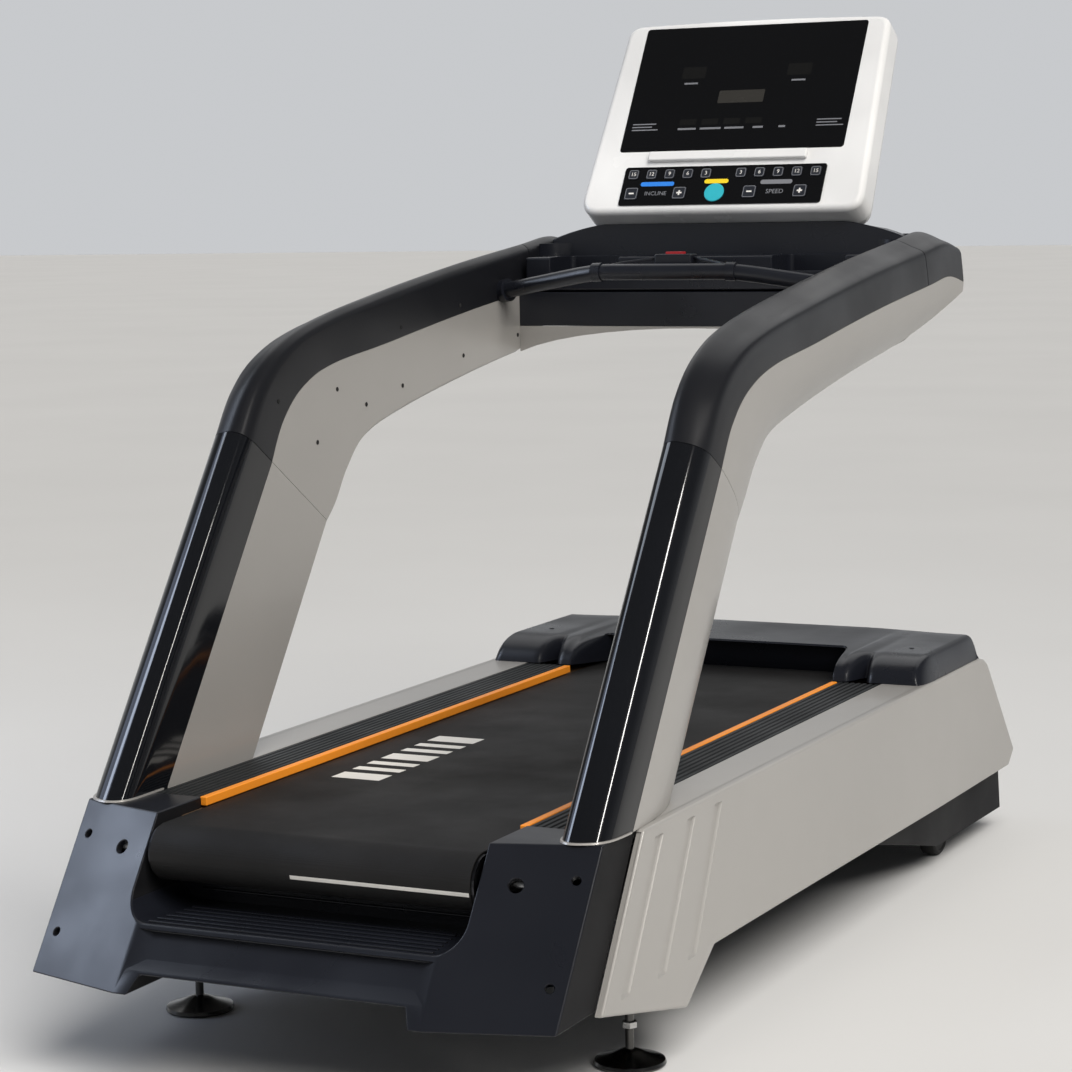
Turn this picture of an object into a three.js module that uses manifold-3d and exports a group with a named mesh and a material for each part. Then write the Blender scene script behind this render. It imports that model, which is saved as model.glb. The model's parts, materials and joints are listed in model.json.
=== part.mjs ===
// A commercial treadmill: deck, belt and rollers, drive and incline gear, covers, uprights with long
// sweeping handrails, and a console. Millimetres, +Z up, +Y towards the motor end, +X to the right of
// a person who faces the console. The origin lies on the floor under the middle of the machine.
import * as THREE from 'three';
import { mergeVertices } from 'three/addons/utils/BufferGeometryUtils.js';
import Module from 'manifold-3d';

const wasm = await Module();
wasm.setup();

// ---------- driving dimensions ----------
const LENGTH = 2288;          // rear lip to front edge
const REAR = -30;             // rear end, in the station scale that the outlines use (0 = rear datum)
const WIDTH = 950;            // over the side panels
const HALF = WIDTH / 2;
const DECK = 403;             // height of treads and side tops above the floor
const GAP = 0.4;              // clearance between neighbouring pieces
const WALL = 3.2;             // moulded and sheet covers
const BELT_WIDTH = 566;
const BELT_TOP = 388;
const BELT_THICK = 3;
const ROLLER_R = 42;
const ROLLER_Y = [150, 1950]; // rear and front roller stations
const ROLLER_Z = BELT_TOP - BELT_THICK - ROLLER_R - GAP;
const TREAD_IN = 297;         // tread rail, inner edge
const TREAD_OUT = 384.5;      // tread rail, outer edge
const SILL_IN = 385;          // side panel top, inner edge
const RAIL = [330, 380];      // frame rail, inner and outer face
const RAIL_Z = [292, 368];
const SLOPE = 0.7;            // rearward lean of the rear faces: station per height
const SWEEP = 0.29;           // rearward sweep of the rear faces towards the middle
const FOOT = { x: 400, y: 412 };
const WHEEL = { x: 392, y: 1950, r: 50, w: 34 };
const PIVOT = { y: 1690, z: 150 };
const CONSOLE = { y: 1792, z: 1305, tilt: 31.5, height: 466, bottom: 305, top: 290, face: 28 };
const LIFT_TOP = [1795, 250]; // upper pivot of the incline motor
const LIFT_END = [1850, 100]; // eye of its screw
const KEY_TRAVEL = 1.5;

// ---------- colours ----------
const finish = (color, roughness, metalness = 0) =>
  new THREE.MeshStandardMaterial({ color, roughness, metalness });
const silver = finish(0xb9b6b0, 0.42, 0.25);
const satinBlack = finish(0x17181c, 0.4);
const glossBlack = finish(0x0b0c0f, 0.12);
const steelBlack = finish(0x202124, 0.5, 0.4);
const steel = finish(0xa8aaad, 0.3, 0.9);
const zinc = finish(0xc3c5c8, 0.25, 1);
const rubber = finish(0x1a1a1b, 0.85);
const beltCloth = finish(0x1d1c1c, 0.8);
const board = finish(0x6b4a2c, 0.7);
const treadBlack = finish(0x2a2c2e, 0.6);
const orange = finish(0xd9852f, 0.5);
const white = finish(0xe6e6e4, 0.25);
const screenBlack = finish(0x060709, 0.06);
const keyGrey = finish(0x4b4f57, 0.45);
const cyan = finish(0x3fb6c0, 0.4);
const red = finish(0xa52a32, 0.4);

// ---------- helpers ----------
const machine = new THREE.Group();
machine.position.y = -(REAR + LENGTH / 2);

function add(name, geometry, material, parent = machine) {
  const mesh = new THREE.Mesh(geometry, material);
  mesh.name = name;
  parent.add(mesh);
  return mesh;
}

function solid(geometry) {
  const bare = geometry.index ? geometry.toNonIndexed() : geometry.clone();
  bare.deleteAttribute('normal');
  bare.deleteAttribute('uv');
  const merged = mergeVertices(bare, 1e-3);
  return new wasm.Manifold(new wasm.Mesh({
    numProp: 3,
    vertProperties: merged.attributes.position.array,
    triVerts: new Uint32Array(merged.index.array),
  }));
}

function geometryOf(manifold) {
  const out = manifold.getMesh();
  const geometry = new THREE.BufferGeometry();
  geometry.setAttribute('position', new THREE.BufferAttribute(new Float32Array(out.vertProperties), 3));
  geometry.setIndex(new THREE.BufferAttribute(new Uint32Array(out.triVerts), 1));
  geometry.computeVertexNormals();
  return geometry;
}

const union = (first, ...rest) => geometryOf(rest.reduce((sum, g) => sum.add(solid(g)), solid(first)));
const cut = (first, ...rest) => geometryOf(rest.reduce((sum, g) => sum.subtract(solid(g)), solid(first)));
const common = (first, second) => geometryOf(solid(first).intersect(solid(second)));

function box(x0, x1, y0, y1, z0, z1) {
  return new THREE.BoxGeometry(x1 - x0, y1 - y0, z1 - z0)
    .translate((x0 + x1) / 2, (y0 + y1) / 2, (z0 + z1) / 2);
}

function rod(axis, radius, a, b, at, sides = 24) {
  const g = new THREE.CylinderGeometry(radius, radius, b - a, sides);
  if (axis === 'x') g.rotateZ(Math.PI / 2).translate((a + b) / 2, at[0], at[1]);
  if (axis === 'z') g.rotateX(Math.PI / 2).translate(at[0], at[1], (a + b) / 2);
  return g;
}

const shapeOf = (points) => new THREE.Shape(points.map(([a, b]) => new THREE.Vector2(a, b)));
const AXES_X = new THREE.Matrix4().makeBasis(
  new THREE.Vector3(0, 1, 0), new THREE.Vector3(0, 0, 1), new THREE.Vector3(1, 0, 0));
const AXES_Y = new THREE.Matrix4().makeBasis(
  new THREE.Vector3(1, 0, 0), new THREE.Vector3(0, 0, 1), new THREE.Vector3(0, -1, 0));

// A side outline of [station, height] points, or a Shape, spread from x0 to x1.
function acrossX(outline, x0, x1) {
  const shape = Array.isArray(outline) ? shapeOf(outline) : outline;
  return new THREE.ExtrudeGeometry(shape, { depth: x1 - x0, bevelEnabled: false, curveSegments: 10 })
    .applyMatrix4(AXES_X).translate(x0, 0, 0);
}

// A cross-section of [x, height] points spread from y0 to y1.
function alongY(outline, y0, y1) {
  const shape = Array.isArray(outline) ? shapeOf(outline) : outline;
  return new THREE.ExtrudeGeometry(shape, { depth: y1 - y0, bevelEnabled: false, curveSegments: 8 })
    .applyMatrix4(AXES_Y).translate(0, y1, 0);
}

const mirrored = (geometry) => {
  const g = geometry.index ? geometry.toNonIndexed() : geometry.clone();
  const p = g.attributes.position;
  for (let i = 0; i < p.count; i += 3) {
    const [ax, ay, az] = [p.getX(i), p.getY(i), p.getZ(i)];
    p.setXYZ(i, -p.getX(i + 1), p.getY(i + 1), p.getZ(i + 1));
    p.setXYZ(i + 1, -ax, ay, az);
    p.setX(i + 2, -p.getX(i + 2));
  }
  g.computeVertexNormals();
  return g;
};

// One piece on the right and its mirror image on the left.
function addPair(name, geometry, material) {
  add(`${name}_right`, geometry, material);
  add(`${name}_left`, mirrored(geometry), material);
}

// ---------- frame, deck, belt and rollers ----------
function mainFrame() {
  const parts = [];
  const hollows = [];
  for (const s of [-1, 1]) {
    const [a, b] = s > 0 ? RAIL : [-RAIL[1], -RAIL[0]];
    parts.push(box(a, b, 142, 2040, ...RAIL_Z));
    hollows.push(box(a + 4, b - 4, 100, 2200, RAIL_Z[0] + 4, RAIL_Z[1] - 4));
    // leg that takes the levelling foot, and the lug of the incline arm
    const leg = s * FOOT.x;
    parts.push(box(leg - 14, leg + 14, FOOT.y - 16, FOOT.y + 16, 118, 330));
    hollows.push(rod('z', 7.6, 100, 300, [leg, FOOT.y], 16));
    const lug = s * 348;
    parts.push(box(lug - 6, lug + 6, PIVOT.y - 30, 1764, PIVOT.z - 25, 300));
  }
  const cross = (y, reach, z0 = 322, z1 = 358) => parts.push(box(-reach, reach, y - 20, y + 20, z0, z1));
  cross(250, 456);
  cross(FOOT.y, 425);
  cross(900, 340);
  cross(1400, 340);
  parts.push(box(-360, 360, 2014, 2040, 364, 388), box(-262, -108, 2014, 2040, 296, 388),
    box(-262, -108, 2014, 2112, 296, 302));
  // cross tube under the belt with the two ears of the incline motor
  parts.push(box(-350, 350, 1728, 1758, 262, 290));
  for (const x of [-46, 38]) parts.push(box(x, x + 8, 1740, 1811, LIFT_TOP[1] - 12, 286));
  const welded = parts.slice(1).reduce((sum, g) => sum.add(solid(g)), solid(parts[0]));
  const open = hollows.reduce((sum, g) => sum.subtract(solid(g)), welded);
  // seats for the roller axles and a bore for the incline pivot
  const reach = RAIL[1] + 9;
  const seats = ROLLER_Y.map((y) => box(-reach, reach, y - 60, y + 10.5, ROLLER_Z - 10.5, ROLLER_Z + 10.5));
  const coverRoom = box(-385, 385, 130, 157, 350, 380);
  const pivotBore = rod('x', 12.5, -360, 360, [PIVOT.y, PIVOT.z]);
  const liftBore = rod('x', 6.6, -50, 50, LIFT_TOP, 16);
  const clear = [...seats, coverRoom, pivotBore, liftBore];
  return geometryOf(clear.reduce((sum, g) => sum.subtract(solid(g)), open));
}

function bandShape(y0, y1, z, radius, thickness) {
  const outline = (r, path) => {
    path.absarc(y1, z, r, -Math.PI / 2, Math.PI / 2, false);
    path.absarc(y0, z, r, Math.PI / 2, Math.PI * 1.5, false);
    return path;
  };
  const band = outline(radius + thickness, new THREE.Shape());
  band.holes.push(outline(radius, new THREE.Path()));
  return band;
}

function roller(y) {
  const half = BELT_WIDTH / 2 + 5;
  const at = [y, ROLLER_Z];
  const bore = rod('x', 10.6, -half - 5, half + 5, at);
  const hollow = rod('x', ROLLER_R - 5, -half + 22, half - 22, at);
  return cut(rod('x', ROLLER_R, -half, half, at), bore, hollow);
}

const axle = (y) => rod('x', 10, -RAIL[1] + 6, RAIL[1] - 6, [y, ROLLER_Z]);

function treadShape(inner, outer, ribs) {
  const bottom = DECK - 17;
  const pitch = (outer - inner) / ribs;
  const points = [[inner, bottom], [outer, bottom]];
  for (let i = ribs - 1; i >= 0; i -= 1) {
    const left = inner + i * pitch;
    points.push([left + pitch - 0.4, DECK - 2.5], [left + pitch - 2.4, DECK]);
    points.push([left + 3.4, DECK], [left + 1.4, DECK - 2.5]);
  }
  return points;
}

add('main_frame', mainFrame(), steelBlack);
add('deck_board', box(-322, 322, 216, 1884, 358.4, BELT_TOP - BELT_THICK - 2 * GAP), board);
add('running_belt', acrossX(bandShape(...ROLLER_Y, ROLLER_Z, ROLLER_R + GAP, BELT_THICK),
  -BELT_WIDTH / 2, BELT_WIDTH / 2), beltCloth);
add('rear_roller', roller(ROLLER_Y[0]), steel);
add('rear_roller_axle', axle(ROLLER_Y[0]), zinc);
add('front_roller', roller(ROLLER_Y[1]), steel);
add('front_roller_axle', axle(ROLLER_Y[1]), zinc);
addPair('tread', alongY(treadShape(TREAD_IN, TREAD_OUT, 7), 274, 1648), treadBlack);
addPair('accent_strip', box(BELT_WIDTH / 2 + 0.5, TREAD_IN - GAP, 274, 1648, DECK - 14.5, DECK), orange);

// ---------- drive ----------
const MOTOR = { y: 2085, z: 235, r: 52 };
const PULLEY = { x: [-326, -303], big: 55, small: 28, belt: [-323, -306] };

// The mains inlet is a boss on the controller that comes through the front wall of the lower pan.
const INLET = { x: [200, 248], z: [90, 122], front: 2252, wall: 8, depth: 16 };

function motorController() {
  const { x, z, front, wall, depth } = INLET;
  const boss = box(...x, 2150, front, ...z);
  const socket = box(x[0] + wall, x[1] - wall, front - depth, front + 5, z[0] + wall - 2, z[1] - wall + 2);
  const pins = [-9, 0, 9].map((dx, i) => {
    const px = (x[0] + x[1]) / 2 + dx;
    const pz = (z[0] + z[1]) / 2 + (i === 1 ? 3 : -2);
    return box(px - 1, px + 1, front - depth - 2, front - 3, pz - 2.5, pz + 2.5);
  });
  return union(cut(union(box(0, 260, 2040, 2160, 60, 225), boss), socket), ...pins);
}

function driveBelt() {
  const from = new THREE.Vector2(MOTOR.y, MOTOR.z);
  const to = new THREE.Vector2(ROLLER_Y[1], ROLLER_Z);
  const along = to.clone().sub(from);
  const spread = Math.acos((PULLEY.small - PULLEY.big) / along.length());
  const heading = along.angle();
  const loop = (path, grow) => {
    path.absarc(to.x, to.y, PULLEY.big + grow, heading - spread, heading + spread, false);
    path.absarc(from.x, from.y, PULLEY.small + grow, heading + spread, heading - spread + 2 * Math.PI, false);
    return path;
  };
  const shape = loop(new THREE.Shape(), 4.5);
  shape.holes.push(loop(new THREE.Path(), 0.6));
  return acrossX(shape, ...PULLEY.belt);
}

add('front_roller_pulley', cut(rod('x', PULLEY.big, ...PULLEY.x, [ROLLER_Y[1], ROLLER_Z], 32),
  rod('x', 10.6, -340, -290, [ROLLER_Y[1], ROLLER_Z])), steel);
add('drive_motor', cut(
  union(rod('x', MOTOR.r, -296, -70, [MOTOR.y, MOTOR.z], 32), box(-260, -110, 2055, 2115, 287.5 - 20, 295.6)),
  rod('x', 8.6, -300, -250, [MOTOR.y, MOTOR.z], 16)), steelBlack);
add('motor_pulley', union(rod('x', PULLEY.small, ...PULLEY.x, [MOTOR.y, MOTOR.z], 32),
  rod('x', 8, -310, -254, [MOTOR.y, MOTOR.z], 16)), steel);
add('drive_belt', driveBelt(), rubber);
add('motor_controller', motorController(), satinBlack);

// ---------- incline gear ----------

function inclineArm() {
  const [py, pz] = [PIVOT.y, PIVOT.z];
  const [eye, eyeZ] = LIFT_END;
  const side = [[py - 18, pz - 14], [py + 6, pz - 24], [WHEEL.y, WHEEL.r - 16], [WHEEL.y + 16, WHEEL.r],
    [WHEEL.y, WHEEL.r + 18], [py + 14, pz + 20], [py - 10, pz + 18]];
  const ear = [[eye - 18, eyeZ - 6], [1890, 50], [1915, 58], [1910, 84], [eye, eyeZ + 16]];
  const pivot = rod('x', 12, -354, 354, [py, pz]);
  const wheelAxle = rod('x', 8, -WHEEL.x - 22, WHEEL.x + 22, [WHEEL.y, WHEEL.r], 16);
  const parts = [pivot, wheelAxle, box(-325, 325, 1890, 1914, 56, 80)];
  for (const x of [-334, 318]) parts.push(acrossX(side, x, x + 16));
  for (const x of [-24, 16]) parts.push(acrossX(ear, x, x + 8));
  return union(...parts);
}

function wheel(x) {
  const half = WHEEL.w / 2;
  const tread = [[44, -half], [49, 4 - half], [WHEEL.r, -6], [WHEEL.r, 6], [49, half - 4], [44, half]];
  const profile = [[8.6, -half], ...tread, [8.6, half], [8.6, -half]];
  return new THREE.LatheGeometry(profile.map(([r, t]) => new THREE.Vector2(r, t)), 28)
    .rotateZ(Math.PI / 2).translate(x, WHEEL.y, WHEEL.r);
}

// The actuator is built upright under its top pivot, then leaned towards its lower end.
const lean = Math.atan2(LIFT_END[0] - LIFT_TOP[0], LIFT_TOP[1] - LIFT_END[1]);
const actuator = (geometry) => geometry.rotateX(lean).translate(0, ...LIFT_TOP);
const liftLength = Math.hypot(LIFT_END[0] - LIFT_TOP[0], LIFT_TOP[1] - LIFT_END[1]);

add('incline_arm', inclineArm(), steelBlack);
add('front_wheel_right', wheel(WHEEL.x), rubber);
add('front_wheel_left', wheel(-WHEEL.x), rubber);
add('incline_motor', actuator(cut(
  union(box(-34, 34, -30, 34, -46, 22), rod('z', 20, -125, -40, [0, 0]), box(30, 74, -26, 30, -96, -26),
    rod('x', 6, -46, 46, [0, 0], 16)),
  rod('z', 12.4, -140, -30, [0, 0], 20))), steelBlack);
add('incline_screw', actuator(union(rod('z', 11.5, -liftLength + 10, -34, [0, 0], 20),
  box(-11, 11, -13, 13, -liftLength - 13, -liftLength + 13))), zinc);

// ---------- covers round the deck ----------
const rearFace = (x, z) => 197 - SLOPE * (DECK - z) - SWEEP * (460 - Math.abs(x));
const panelEdge = (z) => 315 - 0.648 * (DECK - z);

// Closed skin through rings of points, each ring [x, y, z] round the same way, with flat ends.
function loft(rings) {
  const count = rings[0].length;
  const points = rings.flat();
  const index = [];
  for (let r = 0; r + 1 < rings.length; r += 1) {
    for (let i = 0; i < count; i += 1) {
      const j = (i + 1) % count;
      const [a, b, c, d] = [r * count + i, r * count + j, (r + 1) * count + j, (r + 1) * count + i];
      index.push(a, b, c, a, c, d);
    }
  }
  const cap = (start, flip) => {
    const ring = points.slice(start, start + count).map((p) => new THREE.Vector3(...p));
    const normal = new THREE.Vector3();
    ring.forEach((p, i) => normal.add(p.clone().cross(ring[(i + 1) % count])));
    const turn = new THREE.Quaternion().setFromUnitVectors(normal.normalize(), new THREE.Vector3(0, 0, 1));
    const turned = ring.map((p) => p.clone().applyQuaternion(turn));
    const flat = turned.map((q) => new THREE.Vector2(q.x, q.y));
    for (const [a, b, c] of THREE.ShapeUtils.triangulateShape(flat, [])) {
      index.push(...(flip ? [start + a, start + c, start + b] : [start + a, start + b, start + c]));
    }
  };
  cap(0, true);
  cap(points.length - count, false);
  const geometry = new THREE.BufferGeometry();
  geometry.setAttribute('position', new THREE.BufferAttribute(new Float32Array(points.flat()), 3));
  geometry.setIndex(index);
  const bare = geometry.toNonIndexed();
  bare.computeVertexNormals();
  return solidVolume(bare) < 0 ? flipped(bare) : bare;
}

function solidVolume(geometry) {
  const p = geometry.attributes.position;
  const [a, b, c] = [new THREE.Vector3(), new THREE.Vector3(), new THREE.Vector3()];
  let sum = 0;
  for (let i = 0; i < p.count; i += 3) {
    a.fromBufferAttribute(p, i);
    b.fromBufferAttribute(p, i + 1);
    c.fromBufferAttribute(p, i + 2);
    sum += a.dot(b.cross(c));
  }
  return sum;
}

function flipped(geometry) {
  const p = geometry.attributes.position;
  for (let i = 0; i < p.count; i += 3) {
    const [x, y, z] = [p.getX(i), p.getY(i), p.getZ(i)];
    p.setXYZ(i, p.getX(i + 1), p.getY(i + 1), p.getZ(i + 1));
    p.setXYZ(i + 1, x, y, z);
  }
  geometry.computeVertexNormals();
  return geometry;
}

function rearCover() {
  const bottom = 158;
  const step = 254;
  const swept = 460 - (rearFace(460, bottom) - REAR) / SWEEP;
  const wedge = (inset, front) => loft([-460, -swept, swept, 460].map((x) => {
    const at = Math.sign(x) * Math.min(Math.abs(x), 460 - inset);
    const rear = (z) => rearFace(x, z) + inset * 1.25;
    const [low, high] = [bottom + inset, DECK - inset];
    return [[at, rear(low), low], [at, panelEdge(low) + front, low], [at, panelEdge(high) + front, high],
      [at, rear(high), high]];
  }));
  // the foot space: straight sides that round into the step
  const footSpace = (grow) => {
    const [side, floor, radius] = [294 + grow, step - grow, 44];
    const shape = new THREE.Shape();
    shape.moveTo(side, 460);
    shape.lineTo(-side, 460);
    shape.lineTo(-side, floor + radius);
    shape.absarc(-side + radius, floor + radius, radius, Math.PI, Math.PI * 1.5, false);
    shape.absarc(side - radius, floor + radius, radius, -Math.PI / 2, 0, false);
    return alongY(shape, -150, 500);
  };
  const lip = (grow) => alongY([[-272 - grow, 100], [272 + grow, 100], [232 + grow, 186 + grow],
    [-232 - grow, 186 + grow]], -200, 500);
  const outer = solid(wedge(0, 0)).subtract(solid(footSpace(0))).subtract(solid(lip(0)));
  const inner = solid(wedge(WALL, 200)).subtract(solid(footSpace(WALL))).subtract(solid(lip(WALL)));
  // skirt that closes the foot space under the belt
  let shell = outer.subtract(inner).add(solid(box(-292, 292, 207, 210, step - 3, ROLLER_Z - ROLLER_R - 7)));
  for (const s of [-1, 1]) {
    const [a, b] = s > 0 ? [280, 385] : [-385, -280];
    shell = shell.subtract(solid(box(a, b, 273.6, 420, 375, 420)));
    const [c, d] = s > 0 ? [398, 452] : [-452, -398];
    shell = shell.subtract(solid(box(c, d, 214, 330, 380, 420)));
    const [e, f] = s > 0 ? [285, 300] : [-300, -285];
    shell = shell.subtract(solid(box(e, f, 136, 420, ROLLER_Z - 13, ROLLER_Z + 13)));
    shell = shell.subtract(solid(box(e, f, 208, 420, 310, DECK - WALL)));
  }
  return geometryOf(shell);
}

const PANEL_OUTLINE = [[153, 153], [471, 83], [585, 157], [934, 154], [1741, 145], [2208, 143], [2245, 173],
  [2072, 370], [2056, 386], [2035, 397], [2010, 402.5], [1975, DECK], [315, DECK]];

function sidePanel() {
  const edge = [[153, 153], [170, 149.5], [330, DECK], [315, DECK]];
  const sill = box(SILL_IN, HALF - 1, 316, 1700, DECK - WALL, DECK);
  return union(acrossX(PANEL_OUTLINE, HALF - WALL, HALF), sill, acrossX(edge, 461.5, HALF - 1));
}

function motorHood() {
  const skin = (inset) => {
    const shape = new THREE.Shape();
    shape.moveTo(1652 + inset, inset ? 280 : DECK + GAP);
    shape.lineTo(1655 + inset, DECK + 8);
    shape.bezierCurveTo(1664 + inset, 432, 1700, 452 - inset, 1752, 454 - inset);
    shape.lineTo(2000 - inset / 2, 452 - inset);
    shape.bezierCurveTo(2024, 450 - inset, 2036, 410, 2068 - inset * 1.4, 371);
    shape.lineTo(2241 - inset * 1.4, 176);
    if (inset) {
      shape.lineTo(2241 - inset * 1.4, 100);
      shape.lineTo(1652 + inset, 100);
    } else {
      shape.lineTo(2222, 176);
      shape.lineTo(2110, 300);
      shape.lineTo(1704, 300);
      shape.lineTo(1704, DECK + GAP);
    }
    return shape;
  };
  const recess = (grow) => {
    const shape = new THREE.Shape();
    const [half, front, radius] = [262 + grow, 1812 + grow, 40];
    shape.moveTo(-half - 40, 1500);
    shape.lineTo(half + 40, 1500);
    shape.lineTo(half + 8, 1690);
    shape.lineTo(half, front - radius);
    shape.absarc(half - radius, front - radius, radius, 0, Math.PI / 2, false);
    shape.absarc(-half + radius, front - radius, radius, Math.PI / 2, Math.PI, false);
    shape.lineTo(-half - 8, 1690);
    return new THREE.ExtrudeGeometry(shape, { depth: 300, bevelEnabled: false, curveSegments: 6 })
      .translate(0, 0, 250);
  };
  const half = 458;
  const outside = solid(acrossX(skin(0), -half, half)).subtract(solid(recess(0)));
  const inside = solid(acrossX(skin(WALL), WALL - half, half - WALL)).subtract(solid(recess(WALL)));
  const belly = solid(box(-BELT_WIDTH / 2 - 16, BELT_WIDTH / 2 + 16, 1500, 2010, 200, 402));
  return geometryOf(outside.subtract(inside).subtract(belly));
}

function lowerPan() {
  const outline = [[1380, 200], [1385, 146], [1835, 46], [2068, 44], [2258, 40], [2238, 172], [2214, 200]];
  const hollow = [[1383, 300], [1390, 149], [1835, 50], [2067, 48], [2253, 44.5], [2234, 172], [2200, 300]];
  const shell = solid(acrossX(outline, -440, 440)).subtract(solid(acrossX(hollow, -440 + WALL, 440 - WALL)));
  const wheelBay = box(-428, 428, 1630, 2014, 20, 110);
  const inletHole = box(INLET.x[0] - 1, INLET.x[1] + 1, 2225, 2270, INLET.z[0] - 1, INLET.z[1] + 1);
  return geometryOf(shell.subtract(solid(wheelBay)).subtract(solid(inletHole)));
}

add('rear_cover', rearCover(), satinBlack);
addPair('side_panel', sidePanel(), silver);
add('motor_hood', motorHood(), satinBlack);
add('lower_pan', lowerPan(), satinBlack);

// ---------- levelling feet ----------
const foot = (x) => new THREE.LatheGeometry([[0, 0], [56, 0], [58, 3], [56, 9], [24, 20], [10, 24], [7, 24],
  [7, 280], [0, 280]].map(([r, z]) => new THREE.Vector2(r, z)), 20)
  .rotateX(Math.PI / 2).translate(x, FOOT.y, 0);
add('foot_right', foot(FOOT.x), zinc);
add('foot_left', foot(-FOOT.x), zinc);

// ---------- uprights and handrails ----------
// Crest (user side, then top) and edge (front, then underside) of the covers, point against point.
const UPRIGHT_CREST = [[-20, 119], [584.7, 968.6]];
const UPRIGHT_EDGE = [[250, -68], [858.7, 784.6]];
const ARM_CREST = [[585, 969], [641, 1046], [722, 1103], [860, 1147], [1117, 1190], [1420, 1231],
  [1700, 1262], [1830, 1276], [1924, 1262]];
const ARM_EDGE = [[859, 785], [893, 816], [940, 876], [1010, 930], [1165, 970], [1440, 1018], [1718, 1056],
  [1838, 1064], [1932, 1074]];
const ARM_STATIONS = 16;      // sections along the handrail
const CAP_STATION = 12;       // where the handrail's end cap begins
const NOSE_UPRIGHT = [[385, 42], [387, 24], [395, 8], [412, 0], [432, 4], [449, 14], [460, 30], [464, 52]];
const NOSE_ARM = [[385, 20], [388, 9], [394, 3], [401, 0], [412, 2], [434, 12], [458, 24], [463, 48]];
const BLACK_DEPTH = { inner: [107, 93], outer: [88, 88] };   // at the upright, at the handrail
const SIDE_FROM = 0.28;       // part of the depth at which the silver side begins
const SILVER_SIDE = [[463, 0.42], [456, 0.58], [444, 0.72], [424, 0.86], [402, 0.96], [389, 1]];
const POST = { x: [405, 443], depth: [32, 84], wall: 4 };

const mix = (a, b, t) => a + (b - a) * t;

// Width-and-depth line of the black user-side skin: inner edge, round the nose, outer edge.
function blackLine(t) {
  const nose = NOSE_UPRIGHT.map(([x, d], i) => [mix(x, NOSE_ARM[i][0], t), mix(d, NOSE_ARM[i][1], t)]);
  return [[385, mix(...BLACK_DEPTH.inner, t)], ...nose, [466, mix(...BLACK_DEPTH.outer, t)]];
}

// The silver skin closes the section towards the front: outer edge, round the thin front, inner edge.
function silverLine(t, depth) {
  const start = mix(...BLACK_DEPTH.outer, t) + GAP;
  const side = SILVER_SIDE.map(([x, part]) => [x, mix(start, depth, (part - SIDE_FROM) / (1 - SIDE_FROM))]);
  return [[466, start], ...side, [385, depth - 5], [385, mix(...BLACK_DEPTH.inner, t) + GAP]];
}

// Turns an open line into a wall of the given thickness on the inside of the section.
function wallOf(line, thick) {
  const inner = line.map(([x, d], i) => {
    const [x0, d0] = line[Math.max(i - 1, 0)];
    const [x1, d1] = line[Math.min(i + 1, line.length - 1)];
    if (i === 0 || i === line.length - 1) return [x - Math.sign(d1 - d0) * thick, d];
    const size = Math.hypot(x1 - x0, d1 - d0);
    return [x - ((d1 - d0) / size) * thick, d + ((x1 - x0) / size) * thick];
  });
  return [...line, ...inner.reverse()];
}

const spline = (list) => new THREE.SplineCurve(list.map(([y, z]) => new THREE.Vector2(y, z)));

// Sections of a cover between two side-view lines, at the given fractions of their length.
function sections(crest, edge, fractions, outline) {
  const [top, low] = [spline(crest), spline(edge)];
  return fractions.map((f) => {
    const [a, b] = [top.getPoint(f), low.getPoint(f)];
    const depth = a.distanceTo(b);
    const into = b.clone().sub(a).divideScalar(depth);
    return outline(f, depth).map(([x, d]) => [x, a.x + into.x * d, a.y + into.y * d]);
  });
}

const armFractions = (from, to) => {
  const list = [from];
  for (let i = Math.floor(from) + 1; i < to; i += 1) list.push(i);
  return [...list, to].map((i) => i / ARM_STATIONS);
};
const bend = (f) => Math.min(1, f * 3.2);
const upright = (line) => common(
  loft(sections(UPRIGHT_CREST, UPRIGHT_EDGE, [0, 1], (f, depth) => wallOf(line(0, depth), WALL))),
  box(0, 600, -400, 2500, DECK + GAP, 2000));
const arm = (line, from, to) => loft(sections(ARM_CREST, ARM_EDGE, armFractions(from, to),
  (f, depth) => wallOf(line(bend(f), depth), WALL)));

addPair('upright_nose', upright(blackLine), glossBlack);
addPair('upright_shell', upright(silverLine), silver);
addPair('handrail_grip', arm(blackLine, 0, CAP_STATION - 0.01), satinBlack);

// ---------- steel under the covers ----------
const BEAM = { y: [1758, 1802], z: [1118, 1160] };
const NECK = { x: [60, 84], y: [1846, 1880], foot: 1143, top: 1322 };
const consoleTurn = new THREE.Matrix4().makeRotationX(THREE.MathUtils.degToRad(90 - CONSOLE.tilt))
  .setPosition(0, CONSOLE.y, CONSOLE.z);
const onConsole = (geometry) => geometry.applyMatrix4(consoleTurn);

function neck(s, grow = 0) {
  const [a, b] = (s > 0 ? NECK.x : [-NECK.x[1], -NECK.x[0]]).map((x, i) => x + (i ? grow : -grow));
  const link = box(a, b, BEAM.y[1] - 4, NECK.y[1], NECK.foot, BEAM.z[1]);
  const column = box(a, b, NECK.y[0] - grow, NECK.y[1] + grow, NECK.foot, NECK.top);
  const spine = onConsole(box(a, b, -8 - grow, 150, -68 - grow, -40 + grow));
  return solid(column).add(solid(link)).add(solid(spine));
}

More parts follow.
